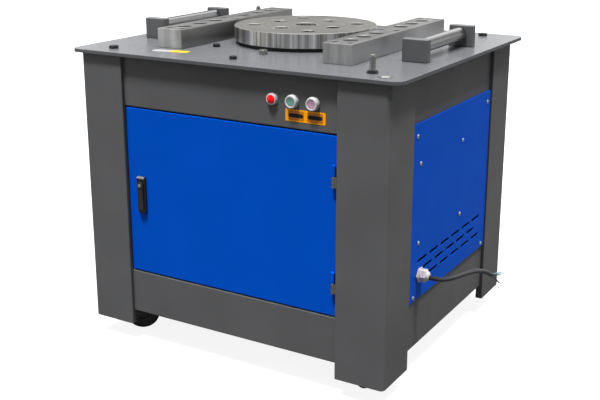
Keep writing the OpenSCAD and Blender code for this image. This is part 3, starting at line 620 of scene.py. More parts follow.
# ---------- legs, rails and base ----------
def leg_outline():
    """Section of a leg: outer corner at 0, 0, folded in at both free edges."""
    bend, fold = 12, 2.5
    w, d, t = LEG_W, LEG_D, SHEET
    return (
        arc(w - fold, fold, fold, -90, 0, 4) + [(w, RAIL_DEPTH), (w - t, RAIL_DEPTH)]
        + [(w - t, t)]
        + arc(bend, bend, bend - t, -90, -180, 6) + [(t, d - t)]
        + [(RAIL_DEPTH, d - t), (RAIL_DEPTH, d)]
        + arc(fold, d - fold, fold, 90, 180, 4) + arc(bend, bend, bend, 180, 270, 6)
    )


for name in ("front_left_leg", "front_right_leg", "rear_left_leg", "rear_right_leg"):
    low, high = box(name)
    side = 1 if "left" in name else -1
    back = 1 if "front" in name else -1
    corner = ((low if side > 0 else high).x, (low if back > 0 else high).y, 0)
    bm = bmesh.new()
    shell(bm, leg_outline(), edges(low.z, high.z, 0.5),
          matrix=place(corner, (side, 0, 0), (0, back, 0), (0, 0, 1)))
    piece(name + "_sheet", bm, "frame", "frame_paint", [name])


def channel_outline(height):
    """Section of a rail: web on x = 0, flanges towards +X."""
    bend, depth, t = 4.5, RAIL_DEPTH, RAIL_T
    return (
        arc(bend, height - bend, bend, 90, 180, 4) + arc(bend, bend, bend, 180, 270, 4)
        + [(depth, 0), (depth, t)] + arc(t + 1.5, t + 1.5, 1.5, 270, 180, 2)
        + arc(t + 1.5, height - t - 1.5, 1.5, 180, 90, 2) + [(depth, height - t), (depth, height)]
    )


def rail_matrix(found):
    """Section X inwards, section Y up and the length along local Z, for a rail's box."""
    low, high = found
    if high.x - low.x > high.y - low.y:
        front = low.y < 0
        origin = (low.x, low.y if front else high.y, low.z)
        return place(origin, (0, 1 if front else -1, 0), (0, 0, 1), (1, 0, 0)), high.x - low.x
    left = low.x < 0
    origin = (low.x if left else high.x, low.y, low.z)
    return place(origin, (1 if left else -1, 0, 0), (0, 0, 1), (0, 1, 0)), high.y - low.y


# Radius of the holes that the lamp and the buttons go through
CONTROL_R = 11.2
for name in ("front_top_rail", "front_bottom_rail", "side_rails", "rear_rails"):
    bm = bmesh.new()
    for found in solids(name):
        matrix, length = rail_matrix(found)
        shell(bm, channel_outline(found[1].z - found[0].z), edges(0, length, 0.4, 2), matrix=matrix)
    rails = piece(name + "_channel", bm, "frame", "frame_paint", [name])
    if name == "front_top_rail":
        bm = bmesh.new()
        for found in solids("control_bezels"):
            centre = middle(found)
            lathe(bm, [(0, -2 * RAIL_T), (CONTROL_R, -2 * RAIL_T), (CONTROL_R, 2), (0, 2)], 48,
                  facing("front", (centre.x, FACE_Y, centre.z)))
        cut(rails, bm)

TUBE = 50
TUBE_T = 4
bm = bmesh.new()
for low, high in solids("base_crossmembers"):
    wide = high.x - low.x > TUBE + 10
    length = (high.x - low.x) if wide else (high.y - low.y)
    half, bore = TUBE / 2, TUBE / 2 - TUBE_T
    outer = rounded(-half, -half, half, half, 6)
    inner = rounded(-bore, -bore, bore, bore, 2.5)
    centre = (low + high) / 2
    if wide:
        matrix = place((low.x, centre.y, centre.z), (0, 1, 0), (0, 0, 1), (1, 0, 0))
    else:
        matrix = place((centre.x, low.y, centre.z), (-1, 0, 0), (0, 0, 1), (0, 1, 0))
    shell(bm, outer, edges(0, length, 0.3, 1), [hole(inner, 0, length, 0.3)], matrix)
piece("base_tubes", bm, "frame", "frame_paint", ["base_crossmembers"])


# ---------- table and what stands on it ----------
SHAFT_HOLE_R = 62
TABLE_CORNER = 28
# The countersunk hole at the front right corner, and its twin opposite
TABLE_HOLE = mount_at("table_hole_front_right")
TABLE_HOLE_R = 13
SINK_WIDTH = 6
SINK_DEPTH = 5

bm = bmesh.new()
table_holes = [hole(circle(0, 0, SHAFT_HOLE_R, 72), UNDER, TABLE_TOP, 0.6)]
countersunk = [(-0.4, UNDER), (0, UNDER + 0.4), (0, TABLE_TOP - SINK_DEPTH), (-SINK_WIDTH, TABLE_TOP)]
for s in (1, -1):
    table_holes.append((circle(s * TABLE_HOLE.x, s * TABLE_HOLE.y, TABLE_HOLE_R), countersunk, False))
shell(bm, rounded(TABLE[0].x, TABLE[0].y, TABLE[1].x, TABLE[1].y, TABLE_CORNER, 10),
      edges(UNDER, TABLE_TOP, 1.2), table_holes)
piece("table_top", bm, "frame", "table_paint", ["table_plate"])
bm = bmesh.new()
bush = [(13.1, -5.2), (13.6, -5.6), (19.4, -0.4), (19.4, 0.1), (18.9, 0.2), (18.2, 0.1), (13.1, -4.4)]
for s in (1, -1):
    lathe(bm, bush, 48, Matrix.Translation((s * TABLE_HOLE.x, s * TABLE_HOLE.y, TABLE_TOP)))
piece("table_hole_bushes", bm, "frame", "hinge_steel", ["table_plate"])

# The table bolts are told apart by how far they rise above the table
STOP_PIN_RISE = 20
TALL_BOLT_RISE = 10
stop_pin = [(0, -10), (6, -10), (6, 0), (7.5, 0.5), (7.5, 38), (6.9, 40.6), (5.4, 43.4), (3.5, 45), (0, 45)]
collar = [(7.4, 0), (14, 0), (14, 1.5), (12.2, 6), (7.4, 6)]
dark_bolts, bright_bolts, studs, stud_feet = (bmesh.new() for _ in range(4))
for found in solids("table_bolts"):
    centre, flats = middle(found), found[1].y - found[0].y
    rise = found[1].z - TABLE_TOP
    at = Matrix.Translation((centre.x, centre.y, TABLE_TOP))
    if rise > STOP_PIN_RISE:
        lathe(stud_feet, collar, 40, at)
        lathe(studs, stop_pin, 32, at)
    else:
        target = bright_bolts if rise > TALL_BOLT_RISE else dark_bolts
        washer = flats * 0.475
        lathe(target, [(0, -14), (6, -14), (6, 0), (washer, 0), (washer, 0.9), (0, 0.9)], 36, at)
        hex_head(target, flats, 0.8, rise, at)
piece("table_hex_bolts", dark_bolts, "frame", "black_oxide", ["table_bolts"])
piece("disc_edge_bolts", bright_bolts, "frame", "hinge_steel", ["table_bolts"])
piece("stop_pins", studs, "frame", "hinge_steel", ["table_bolts"])
piece("stop_pin_collars", stud_feet, "frame", "black_oxide", ["table_bolts"])

PIN_R = 20
PIN_YS = [75 + 72.5 * k for k in range(3)]
for side in ("left", "right"):
    low, high = box(side + "_pin_bar")
    x = (low.x + high.x) / 2
    bar_holes = [hole(circle(x, s * y, PIN_R), low.z, high.z, 0.5, 0.9) for s in (-1, 1) for y in PIN_YS]
    for found in solids("pin_bar_screws"):
        centre = middle(found)
        if low.x < centre.x < high.x:
            bar_holes.append(pocket(circle(centre.x, centre.y, 10, 32), high.z - 13, high.z, 0.5))
    bm = bmesh.new()
    shell(bm, rounded(low.x, low.y, high.x, high.y, 3, 4), edges(low.z, high.z, 1.3), bar_holes)
    piece(side + "_bar_body", bm, "frame", "ground_steel", [side + "_pin_bar"])

# From the middle of a screw's socket to its corners
KEY_R = 5.8
bm = bmesh.new()
for low, high in solids("pin_bar_screws"):
    centre = (low + high) / 2
    key = arc(centre.x, centre.y, KEY_R, 0, 300, 5)
    shell(bm, circle(centre.x, centre.y, 9.5, 36), edges(high.z - 12, high.z, 0.9),
          [pocket(key, high.z - 7, high.z)])
piece("bar_cap_screws", bm, "frame", "black_oxide", ["pin_bar_screws"])

bm = bmesh.new()
for low, high in solids("roller_brackets"):
    shell(bm, rounded(low.x, low.y, high.x, high.y, 7, 5), edges(low.z, high.z, 2.6, 4))
brackets = piece("roller_end_blocks", bm, "frame", "bracket_paint", ["roller_brackets"])
ROLLER = box("left_roller")
ROLLER_Z = middle(ROLLER).z
ROLLER_R = (ROLLER[1].z - ROLLER[0].z) / 2
JOURNAL_Y = ROLLER[1].y
# The roller runs to this distance from its middle, on journals that go on into the end blocks
BODY_END = 137.5
JOURNAL_R = 8
JOURNAL_GAP = 0.3
for side in ("left", "right"):
    x = middle(box(side + "_roller")).x
    seat_r, seat_end = JOURNAL_R + JOURNAL_GAP, JOURNAL_Y + JOURNAL_GAP
    bm = bmesh.new()
    for s in (1, -1):
        lathe(bm, [(0, BODY_END - 7.5), (seat_r, BODY_END - 7.5), (seat_r, seat_end), (0, seat_end)], 40,
              place((x, 0, ROLLER_Z), (1, 0, 0), (0, 0, -s), (0, s, 0)))
    cut(brackets, bm)
    profile = [(0, JOURNAL_Y), (JOURNAL_R - 0.5, JOURNAL_Y), (JOURNAL_R, JOURNAL_Y - 0.6)]
    profile += [(JOURNAL_R, BODY_END), (ROLLER_R - 1.5, BODY_END)]
    profile += [(ROLLER_R - 0.4, BODY_END - 0.5), (ROLLER_R, BODY_END - 1.5)]
    profile += [(r, -y) for r, y in reversed(profile)]
    bm = bmesh.new()
    lathe(bm, profile, 64, place((x, 0, ROLLER_Z), (1, 0, 0), (0, 0, -1), (0, 1, 0)))
    piece(side + "_roller_body", bm, side + "_side_roller", "roller_steel", [side + "_roller"])

DISC = box("work_disc")
DISC_R = DISC[1].x


def polar(r, angle):
    """X and Y of a point at an angle in degrees."""
    return r * math.cos(math.radians(angle)), r * math.sin(math.radians(angle))


BORE_R = 30
KEY_HALF_W = 8
KEY_END = 36
# First angle in degrees, and distance from the middle, of the outer and the inner four pin holes
PIN_CIRCLES = ((33, 144), (-12, 100))
LIFT_ANGLES = (78, 258)
LIFT_REACH = 128
bottom, top = DISC[0].z, DISC[1].z
slot_angle = math.degrees(math.asin(KEY_HALF_W / BORE_R))
keyway = arc(0, 0, BORE_R, slot_angle, 360 - slot_angle, 44)
keyway += [(KEY_END, -KEY_HALF_W), (KEY_END, KEY_HALF_W)]
disc_holes = [hole(keyway, bottom, top, 0.6, 1.2)]
for first, reach in PIN_CIRCLES:
    for k in range(4):
        disc_holes.append(hole(circle(*polar(reach, first + 90 * k), PIN_R), bottom, top, 0.5, 1.2))
disc_holes += [hole(circle(*polar(LIFT_REACH, a), 6, 24), bottom, top, 0.4, 0.5) for a in LIFT_ANGLES]
bm = bmesh.new()
shell(bm, circle(0, 0, DISC_R, 160), edges(bottom, top, 1.6, 4), disc_holes)
piece("turning_disc", bm, "disc", "turned_steel", ["work_disc"])


# ---------- sheet-metal trays: door and panels ----------
def tray(bm, width, height, depth, holes, matrix, corner=2.5, front_r=1.6):
    """An open-backed tray with its face on local z = 0 and its folded edges towards -Z."""
    t = SKIN
    turns = [math.pi / 2 * i / 4 for i in range(5)]
    profile = [(t + 0.8, -t), (t + 0.2, -t - 0.2), (t, -t - 0.8), (t, -depth), (0, -depth)]
    profile += [(front_r * (1 - math.cos(a)), -front_r * (1 - math.sin(a))) for a in turns]
    through = [hole(loop, -t, 0, 0.25) for loop in holes]
    shell(bm, rounded(-width / 2, -height / 2, width / 2, height / 2, corner, 4), profile, through, matrix)


DOOR = box("door_panel")
LATCH_CASE = box("latch_case")
latch_x = middle(LATCH_CASE).x
SHAFT_Z = 470
door_mid = middle(DOOR)
bm = bmesh.new()
tray(bm, DOOR[1].x - DOOR[0].x, DOOR[1].z - DOOR[0].z, DOOR[1].y - DOOR[0].y,
     [circle(latch_x - door_mid.x, SHAFT_Z - door_mid.z, 8, 32)],
     facing("front", (door_mid.x, DOOR[0].y, door_mid.z)))
piece("door_tray", bm, "door", "blue_paint", ["door_panel"])

SLOT_L, SLOT_H, SLOT_PITCH = 57, 8.4, 75
# Height and number of slots of each row
VENT_ROWS = ((330, 6), (303, 5), (276, 6))
PANEL_DEPTH = 6
SCREW_HOLE_R = 3.2
SCREW_HEAD = 3.3
# The screws that hold the electrical plate are shorter, so their inner ends lie further right
PLATE_SCREW_X = 458
PLATE_SCREWS = [found for found in solids("panel_screws") if found[0].x > PLATE_SCREW_X]
for side in ("right", "left", "rear"):
    low, high = box(side + "_panel")
    centre = (low + high) / 2
    width = (high.x - low.x) if side == "rear" else (high.y - low.y)
    outer = {"right": (high.x, centre.y), "left": (low.x, centre.y), "rear": (centre.x, high.y)}[side]
    loops = []
    for z, count in VENT_ROWS:
        for k in range(count):
            x = (k - (count - 1) / 2) * SLOT_PITCH
            y = z - centre.z
            loops.append(rounded(x - SLOT_L / 2, y - SLOT_H / 2, x + SLOT_L / 2, y + SLOT_H / 2,
                                 SLOT_H / 2 - 0.01, 5))
    loops += [circle(x, z - centre.z, SCREW_HOLE_R, 24) for x in (24 - width / 2, width / 2 - 24)
              for z in (low.z + 12, high.z - 30)]
    if side == "right":
        gland = middle(box("cable_gland"))
        loops.append(circle(gland.y - centre.y, gland.z - centre.z, 12, 40))
        for found in PLATE_SCREWS:
            screw = middle(found)
            loops.append(circle(screw.y - centre.y, screw.z - centre.z, SCREW_HOLE_R, 24))
    bm = bmesh.new()
    tray(bm, width, high.z - low.z, PANEL_DEPTH, loops, facing(side, (*outer, centre.z)), 2.2, 1.2)
    piece(side + "_panel_tray", bm, "frame", "blue_paint", [side + "_panel"])

bm = bmesh.new()
for low, high in solids("panel_screws"):
    centre = (low + high) / 2
    end = -1.8 if low.x > PLATE_SCREW_X else -4
    if high.y > box("rear_panel")[1].y:
        at = facing("rear", (centre.x, high.y - SCREW_HEAD, centre.z))
    elif low.x < box("left_panel")[0].x:
        at = facing("left", (low.x + SCREW_HEAD, centre.y, centre.z))
    else:
        at = facing("right", (high.x - SCREW_HEAD, centre.y, centre.z))
    lathe(bm, [(2.9, end), (2.9, 0), (6, 0), (6, 0.8), (5.2, 2.2), (3.6, 3.1), (2.4, SCREW_HEAD),
               (2.4, 1.4), (0, 1.4), (0, end)], 28, at)
piece("panel_pan_screws", bm, "frame", "zinc_plate", ["panel_screws"])


# ---------- hinges and latch ----------
def barrel(bm, z0, z1, r):
    """A cylinder with broken edges on the hinge's axis."""
    profile = [(0, z0), (r - 0.5, z0), (r, z0 + 0.5), (r, z1 - 0.5), (r - 0.5, z1), (0, z1)]
    lathe(bm, profile, 32, HINGE_AXIS)


HINGE_X, HINGE_Y = 318, -411
HINGE_AXIS = Matrix.Translation((HINGE_X, HINGE_Y, 0))
BARREL_R = 5.5
BARREL_H = 28.2
bm = bmesh.new()
pins = bmesh.new()
for low, high in solids("frame_hinge_barrels"):
    top = low.z + BARREL_H
    barrel(bm, low.z, top, BARREL_R)
    block(bm, (HINGE_X, HINGE_Y - 2.4, low.z + 0.6), (high.x, HINGE_Y + 2, top - 0.6), 0.6)
    barrel(pins, top - 2, high.z, 3)
    foot, head = low.z - 0.01, low.z + 0.6
    lathe(pins, [(0, foot), (3.4, foot), (3.4, head), (0, head)], 24, HINGE_AXIS)
piece("hinge_lower_barrels", bm, "frame", "hinge_steel", ["frame_hinge_barrels"])
piece("hinge_pins", pins, "frame", "zinc_plate", ["frame_hinge_barrels"])
bm = bmesh.new()
for low, high in solids("door_hinge_barrels"):
    lathe(bm, [(3.05, low.z), (BARREL_R - 0.5, low.z), (BARREL_R, low.z + 0.5), (BARREL_R, high.z - 1),
               (BARREL_R - 1, high.z), (0, high.z), (0, high.z - 2), (3.05, high.z - 2)], 32, HINGE_AXIS)
    block(bm, (HINGE_X - 5, HINGE_Y, low.z + 0.5), (HINGE_X - 1, high.y, high.z - 0.5), 0.5)
piece("hinge_upper_barrels", bm, "door", "blue_paint", ["door_hinge_barrels"])

case_mid = middle(LATCH_CASE)
case_front = facing("front", (case_mid.x, LATCH_CASE[1].y, case_mid.z))
shaft_up = SHAFT_Z - case_mid.z
bm = bmesh.new()
plate = arc(9.5, 47, 5, 0, 90, 6) + arc(-9.5, 47, 5, 90, 180, 6)
plate += arc(-3.5, -41, 11, 180, 270, 8) + arc(3.5, -41, 11, 270, 360, 8)
shaft_hole = hole(circle(0, shaft_up, 6.05, 32), 0, 6.5, 0.3)
shell(bm, plate, [(0, 0), (0, 4.6), (0.5, 5.8), (1.4, 6.5)], [shaft_hole], case_front)
rim = inset(plate, 1.5)
shell(bm, rim, [(0, 6.3), (0, 7.6), (0.5, 8), (2.2, 8), (2.7, 7.6), (2.7, 6.3)], (), case_front)
piece("latch_plate", bm, "door", "black_plastic", ["latch_case"])

# The lever lies between these two distances from the door
GRIP_FOOT = 8.5
GRIP_TOP = 12.5
lever_front = facing("front", (latch_x, LATCH_CASE[1].y, SHAFT_Z))
bm = bmesh.new()
hub = [(0, GRIP_FOOT), (10.5, GRIP_FOOT), (10.5, GRIP_TOP - 0.4), (10, GRIP_TOP + 0.2), (0, GRIP_TOP + 0.2)]
lathe(bm, hub, 48, lever_front)
grip = arc(0, 0, 10, 0, 180, 16) + arc(-4, -65, 6, 180, 270, 6) + arc(4, -65, 6, 270, 360, 6)
grip_side = [(0, GRIP_FOOT), (0, GRIP_TOP - 1.6), (0.5, GRIP_TOP - 0.6), (1.6, GRIP_TOP)]
shell(bm, grip, grip_side, (), lever_front)
lathe(bm, [(0, -25), (5.6, -25), (6, -24.6), (6, 9), (0, 9)], 32, lever_front)
block(bm, (-8, -8, -25), (8, 60, -21), 0.6, 3, lever_front)
piece("latch_handle", bm, "latch", "black_plastic", ["latch_lever"])
bm = bmesh.new()
key_barrel = [(0, 0), (5.2, 0), (5.2, 1.2), (4.6, 1.7), (0, 1.7)]
lathe(bm, [(r, GRIP_TOP + z) for r, z in key_barrel], 32, lever_front)
block(bm, (-0.7, -3.2, GRIP_TOP + 1.5), (0.7, 3.2, GRIP_TOP + 2), 0.1, 0, lever_front)
piece("latch_key_barrel", bm, "latch", "zinc_plate", ["latch_lever"])
# A zinc strip along the top of the latch plate that shows as a light line: it stands in for the highlight on
# the case's top edge, a painted highlight.
bm = bmesh.new()
highlight_strip = [(47.2, 4), (52.8, 0.5), (52.8, 4.6), (49.4, 9.2), (47.2, 9.2)]
shell(bm, highlight_strip, edges(-12.5, 12.5, 0.3, 1), (),
      case_front @ place((0, 0, 0), (0, 1, 0), (0, 0, 1), (1, 0, 0)))
piece("latch_top_highlight_strip", bm, "door", "zinc_plate", ["latch_case"])


# ---------- controls ----------
RIBS = 24
# The lamp is the leftmost of the three, the green button is next and the red one is last
BEZELS = [middle(found) for found in solids("control_bezels")]
lamp_ring = [(CONTROL_R, 0), (15, 0), (15, 1.4), (14.2, 2), (13.8, 2.2), (13.6, 8.2), (12.9, 9),
             (CONTROL_R, 9)]
bezel = [(CONTROL_R, 0), (17, 0), (17, 7.4), (16.6, 8.4), (15.4, 13), (14.6, 14), (12.2, 14), (11.5, 13.6)]
rings, bezels = bmesh.new(), bmesh.new()
for index, centre in enumerate(BEZELS):
    at = facing("front", (centre.x, FACE_Y, centre.z))
    if index == 0:
        lathe(rings, lamp_ring, 48, at)
        for k in range(RIBS):
            turn = at @ Matrix.Rotation(2 * math.pi * k / RIBS, 4, "Z")
            block(rings, (13.2, -0.8, 2), (14.4, 0.8, 7.8), 0.3, 0, turn)
    else:
        lathe(bezels, bezel + [(CONTROL_R, 12.8)], 64, at)
piece("lamp_ring", rings, "frame", "bezel_white", ["control_bezels"])
piece("button_bezels", bezels, "frame", "bezel_white", ["control_bezels"])

LENS_R = 11
DOME_STEPS = 12
turns = [math.pi / 2 * i / DOME_STEPS for i in range(DOME_STEPS)]
dome = [(LENS_R * math.cos(a), 8.4 + 5 * math.sin(a)) for a in turns] + [(0, 8.4 + 5)]
bm = bmesh.new()
lathe(bm, [(0, -2), (LENS_R, -2)] + dome, 48, facing("front", (BEZELS[0].x, FACE_Y, BEZELS[0].z)))
piece("lamp_dome", bm, "frame", "lens_red", ["lamp_lens"])
button = [(0, -10), (5, -10), (5, 3), (10.8, 3), (10.8, 12.2), (10.4, 13), (9.4, 13.3), (8.4, 13), (4, 12.6)]
for index, name in ((1, "green"), (2, "red")):
    bm = bmesh.new()
    lathe(bm, button + [(0, 12.5)], 48, facing("front", (BEZELS[index].x, FACE_Y, BEZELS[index].z)))
    piece(name + "_cap", bm, name + "_push", "button_" + name, [name + "_button"])

LABEL_T = 0.8
STICKER_T = 0.5
# Middles of the label's two fields, left and right of its own middle
FIELD_XS = (-26, 27)
sticker_box, label_box = solids("labels")
label_mid = middle(label_box)
label_at = facing("front", (label_mid.x, FACE_Y, label_mid.z))
bm = bmesh.new()
shell(bm, rounded(-56, -15, 56, 15, 1.6), edges(0, LABEL_T * 0.6, 0.2, 1), (), label_at)
piece("button_label", bm, "frame", "label_film", ["labels"])
bm = bmesh.new()
for x in FIELD_XS:
    field = rounded(x - 22, -12, x + 22, 12, 3)
    shell(bm, field, edges(LABEL_T * 0.6, LABEL_T * 0.8, 0.05, 1), (), label_at)
piece("button_label_fields", bm, "frame", "film_amber", ["labels"])
bm = bmesh.new()
for x in FIELD_XS:
    shell(bm, rounded(x - 20.5, -5, x + 20.5, 5, 4.8), edges(LABEL_T * 0.8, LABEL_T, 0.05, 1), (), label_at)
piece("button_label_marks", bm, "frame", "film_black", ["labels"])
sticker_mid = middle(sticker_box)
sticker_at = Matrix.Translation((sticker_mid.x, sticker_mid.y, TABLE_TOP))
sticker_at = sticker_at @ Matrix.Rotation(math.radians(12), 4, "Z")
for name, side, look in (("white", -1, "film_white"), ("yellow", 1, "film_yellow")):
    outline = [(0, -14)] + arc(44, -6, 8, -90, 0, 5) + arc(44, 6, 8, 0, 90, 5) + [(0, 14)]
    bm = bmesh.new()
    shell(bm, outline, edges(0, STICKER_T, 0.15, 1), (), sticker_at @ Matrix.Diagonal((side, 1, 1, 1)))
    piece("table_sticker_" + name, bm, "frame", look, ["labels"])


# ---------- cable gland ----------
GLAND = box("cable_gland")
gland_mid = middle(GLAND)
gland_at = place((box("right_panel")[1].x, gland_mid.y, gland_mid.z), (0, 1, 0), (0, 0, 1), (1, 0, 0))
bm = bmesh.new()
lathe(bm, [(0, -8), (11.9, -8), (11.9, 0), (16, 0), (16, 1), (0, 1)], 48, gland_at)
hex_head(bm, 20 * math.sqrt(3), 0.8, 7.5, gland_at)
lathe(bm, [(0, 7), (14.6, 7), (14.6, 9.6), (0, 9.6)], 48, gland_at)
shell(bm, hexagon(0, 0, 30.5), [(0.8, 9), (0, 9.8), (0, 18.5), (0.5, 20), (2.2, 22.5)], (), gland_at)
lathe(bm, [(0, 21.5), (13.2, 21.5), (12.6, 24.5), (10.8, 27.6), (8.4, 29.4), (7, 30), (0, 30)], 48, gland_at)
piece("gland_body", bm, "frame", "gland_nylon", ["cable_gland"])


# ---------- casters ----------
WHEEL_R = 50
CHEEK_T = 4
CHEEK_IN = 20.5
# Half the sides of a caster's plate, and of its screws' rectangle
PLATE_X, PLATE_Y = 50, 42.5
SCREW_X, SCREW_Y = 38, 30
PLATE_T = 9.8


def caster_matrix(wheel, pivot):
    """Local X from the pivot to the wheel and local Z up, and how far the wheel trails."""
    to_wheel = Vector((wheel.x - pivot.x, wheel.y - pivot.y, 0))
    along = to_wheel.normalized()
    across = Vector((0, 0, 1)).cross(along)
    return place((pivot.x, pivot.y, 0), along, across, (0, 0, 1)), to_wheel.length


def fork(bm, at, offset, crown):
    """Two cheeks, a crown and the axle, the wheel's middle at x = offset."""
    cheek = arc(23, crown - 4, 4, 0, 90, 3) + arc(-23, crown - 4, 4, 90, 180, 3)
    cheek += arc(offset, WHEEL_R, 13, 180, 360, 14)
    for s in (-1, 1):
        side = at @ place((0, s * CHEEK_IN, 0), (1, 0, 0), (0, 0, 1), (0, s, 0))
        shell(bm, cheek, edges(0, CHEEK_T, 0.8, 2), (), side)
        hub = side @ Matrix.Translation((offset, WHEEL_R, 0))
        lathe(bm, [(0, 3.5), (10, 3.5), (10, 5), (0, 5)], 32, hub)
        hex_head(bm, 15, 4.8, 10, hub)
    block(bm, (-27, -CHEEK_IN - CHEEK_T, crown - 4), (27, CHEEK_IN + CHEEK_T, crown + 4), 1.6, 5, at)
    axle = at @ place((offset, 0, WHEEL_R), (1, 0, 0), (0, 0, -1), (0, 1, 0))
    lathe(bm, [(0, -25), (6, -25), (6, 25), (0, 25)], 32, axle)


def tyre_and_hub(name, body, at):
    """A rubber tyre on a ribbed hub; the axle is local Z."""
    bm = bmesh.new()
    half = [(27, 12), (33, 14.5), (40, 16.4), (44.5, 17), (47.2, 16.4), (49, 14.6), (WHEEL_R, 11.5),
            (WHEEL_R, 5)]
    lathe(bm, [(r, -z) for r, z in half] + [(r, z) for r, z in reversed(half)], 72, at)
    piece(name + "_tyre", bm, body, "wheel_rubber", [name])
    bm = bmesh.new()
    half = [(6.05, 18.6), (6.6, 19), (15, 19), (16, 18), (16, 7), (24, 6), (25, 11.5), (26, 12.2),
            (27.5, 12.2)]
    lathe(bm, [(r, -z) for r, z in half] + [(r, z) for r, z in reversed(half)], 64, at)
    for k in range(6):
        for s in (-1, 1):
            spoke = at @ Matrix.Rotation(math.pi / 3 * k, 4, "Z") @ Matrix.Diagonal((1, 1, s, 1))
            block(bm, (15.5, -2, 5), (25, 2, 11), 0.6, 0, spoke)
    piece(name + "_hub", bm, body, "bracket_paint", [name])


# A mount that reaches lower than this has the fixed fork of a rear wheel on it
REAR_FORK_Z = 60
plates = bmesh.new()
for low, high in solids("caster_plates"):
    x, y = (low.x + high.x) / 2, low.y + PLATE_Y
    under = high.z - PLATE_T
    screws = [(x + a * SCREW_X, y + b * SCREW_Y) for a in (-1, 1) for b in (-1, 1)]
    seats = [hole(circle(*screw, 4.5, 20), under, high.z, 0.2) for screw in screws]
    shell(plates, rounded(x - PLATE_X, y - PLATE_Y, x + PLATE_X, y + PLATE_Y, 8),
          edges(under, high.z, 0.8), seats)
    for screw in screws:
        head = Matrix.Translation((*screw, under)) @ Matrix.Diagonal((1, 1, -1, 1))
        hex_head(plates, 13, 0.1, 6, head)
        lathe(plates, [(0, -9), (4.3, -9), (4.3, 1), (0, 1)], 20, head)
    if low.z < REAR_FORK_Z:
        fork(plates, place((x, y, 0), (0, 1, 0), (-1, 0, 0), (0, 0, 1)), 0, 122)
    else:
        pivot = Matrix.Translation((x, y, 0))
        lathe(plates, [(0, 102), (8, 102), (10, 103), (10, 106), (6, 106), (6, 120), (0, 120)], 32, pivot)
        lathe(plates, [(0, 121.6), (19, 121.6), (23, 123), (25, 126.5), (0, 126.5)], 40, pivot)
piece("caster_mounts", plates, "frame", "black_oxide", ["caster_plates"])

for side in ("left", "right"):
    name = f"front_{side}_fork"
    fronts = [found for found in solids("caster_plates") if found[0].y < 0]
    mount = next(found for found in fronts if (found[0].x < 0) == (side == "left"))
    pivot = Vector((middle(mount).x, mount[0].y + PLATE_Y, 0))
    wheel = middle(box(f"front_{side}_wheel"))
    at, reach = caster_matrix(wheel, pivot)
    bm = bmesh.new()
    fork(bm, at, reach, 117.5)
    piece(name + "_steel", bm, side + "_caster", "black_oxide", [name])
    axle = at @ place((reach, 0, WHEEL_R), (1, 0, 0), (0, 0, -1), (0, 1, 0))
    tyre_and_hub(f"front_{side}_wheel", "wheel_front_" + side, axle)
    wheel = middle(box(f"rear_{side}_wheel"))
    axle = place(wheel, (0, 1, 0), (0, 0, 1), (1, 0, 0))
    tyre_and_hub(f"rear_{side}_wheel", "wheel_rear_" + side, axle)


# ---------- floor, light and background ----------
FLOOR_HALF = 25
FLOOR_SEEN = (0.15, 0.15, 0.15)
FLOOR_UNSEEN = (0.05, 0.05, 0.05)
FLOOR_GLOW = 0.89


def floor_material():
    """White for the camera, and darker for the light that it throws back on the object."""
    material, tree, shader, coords = new_material("studio_floor", Roughness=0.9)
    shader.inputs["Specular IOR Level"].default_value = 0.1
    seen = add_node(tree, "LightPath").outputs["Is Camera Ray"]
    tree.links.new(mix(tree, seen, FLOOR_UNSEEN, FLOOR_SEEN), shader.inputs["Base Color"])
    shader.inputs["Emission Color"].default_value = (1, 1, 1, 1)
    glow = add_node(tree, "Math", {0: seen, 1: FLOOR_GLOW}, operation="MULTIPLY").outputs[0]
    tree.links.new(glow, shader.inputs["Emission Strength"])
    return material


def make_floor():
    """A wide floor, as a stage piece."""
    half = FLOOR_HALF
    mesh = bpy.data.meshes.new("floor")
    corners = [(-half, -half, 0), (half, -half, 0), (half, half, 0), (-half, half, 0)]
    mesh.from_pydata(corners, [], [(0, 1, 2, 3)])
    mesh.materials.append(floor_material())
    floor = bpy.data.objects.new("floor", mesh)
    scene.collection.objects.link(floor)


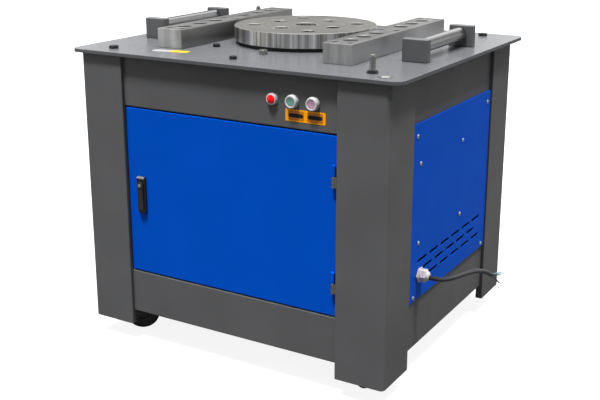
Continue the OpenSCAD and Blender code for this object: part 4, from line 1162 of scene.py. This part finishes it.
def softbox(name, at, aim, size, power):
    """A rectangular area light that the camera doesn't see."""
    light = bpy.data.lights.new(name, "AREA")
    light.shape = "RECTANGLE"
    light.size, light.size_y = size
    light.energy = power
    lamp = bpy.data.objects.new(name, light)
    lamp.location = at
    lamp.rotation_euler = (Vector(aim) - Vector(at)).to_track_quat("-Z", "Y").to_euler()
    lamp.visible_camera = False
    scene.collection.objects.link(lamp)


def top_light(name, towards, spread, strength):
    """A broad light from far above, shining towards a direction; reflections don't show it."""
    light = bpy.data.lights.new(name, "SUN")
    light.energy = strength
    light.angle = math.radians(spread)
    lamp = bpy.data.objects.new(name, light)
    lamp.visible_glossy = False
    lamp.rotation_euler = Vector(towards).to_track_quat("-Z", "Y").to_euler()
    scene.collection.objects.link(lamp)


def studio_world():
    """Grey surroundings in upright bands, lighter above and at the back, that the camera sees as white."""
    world = bpy.data.worlds.new("studio")
    scene.world = world
    world.use_nodes = True
    tree = world.node_tree
    direction = add_node(tree, "TexCoord").outputs["Generated"]
    parts = add_node(tree, "SeparateXYZ", {0: direction})
    bands = stripes(tree, angle_round_z(tree, parts), 2.6, 2.0)
    banded = remap(tree, bands, 0.1, 0.6, 0.42, 0.6)
    towards_back = remap(tree, parts.outputs[1], 1.0, 2.6, -0.1, 0.75)
    sides = add_node(tree, "Math", {0: banded, 1: towards_back}, operation="MULTIPLY").outputs[0]
    ceiling = remap(tree, parts.outputs[2], 0, 1.5, 0.7, 0.9)
    level = add_node(tree, "Math", {0: sides, 1: ceiling}, operation="ADD").outputs[0]
    grey = add_node(tree, "CombineXYZ", {0: level, 1: level, 2: level}).outputs[0]
    seen = add_node(tree, "LightPath").outputs["Is Camera Ray"]
    background = tree.nodes["Background"]
    tree.links.new(mix(tree, seen, grey, (1, 1, 1)), background.inputs["Color"])


make_floor()
top_light("front_top_light", (0.05, 0.31, -1), 9, 6.8)
top_light("right_top_light", (-0.32, 0, -1), 10, 4.3)
top_light("rear_left_top_light", (0.25, -0.3, -1), 16, 3.2)
softbox("left_strip", (-2.6, -2.4, 1.5), (0, 0, 0.8), (0.5, 2.4), 9)
studio_world()
scene.view_settings.view_transform = "Standard"
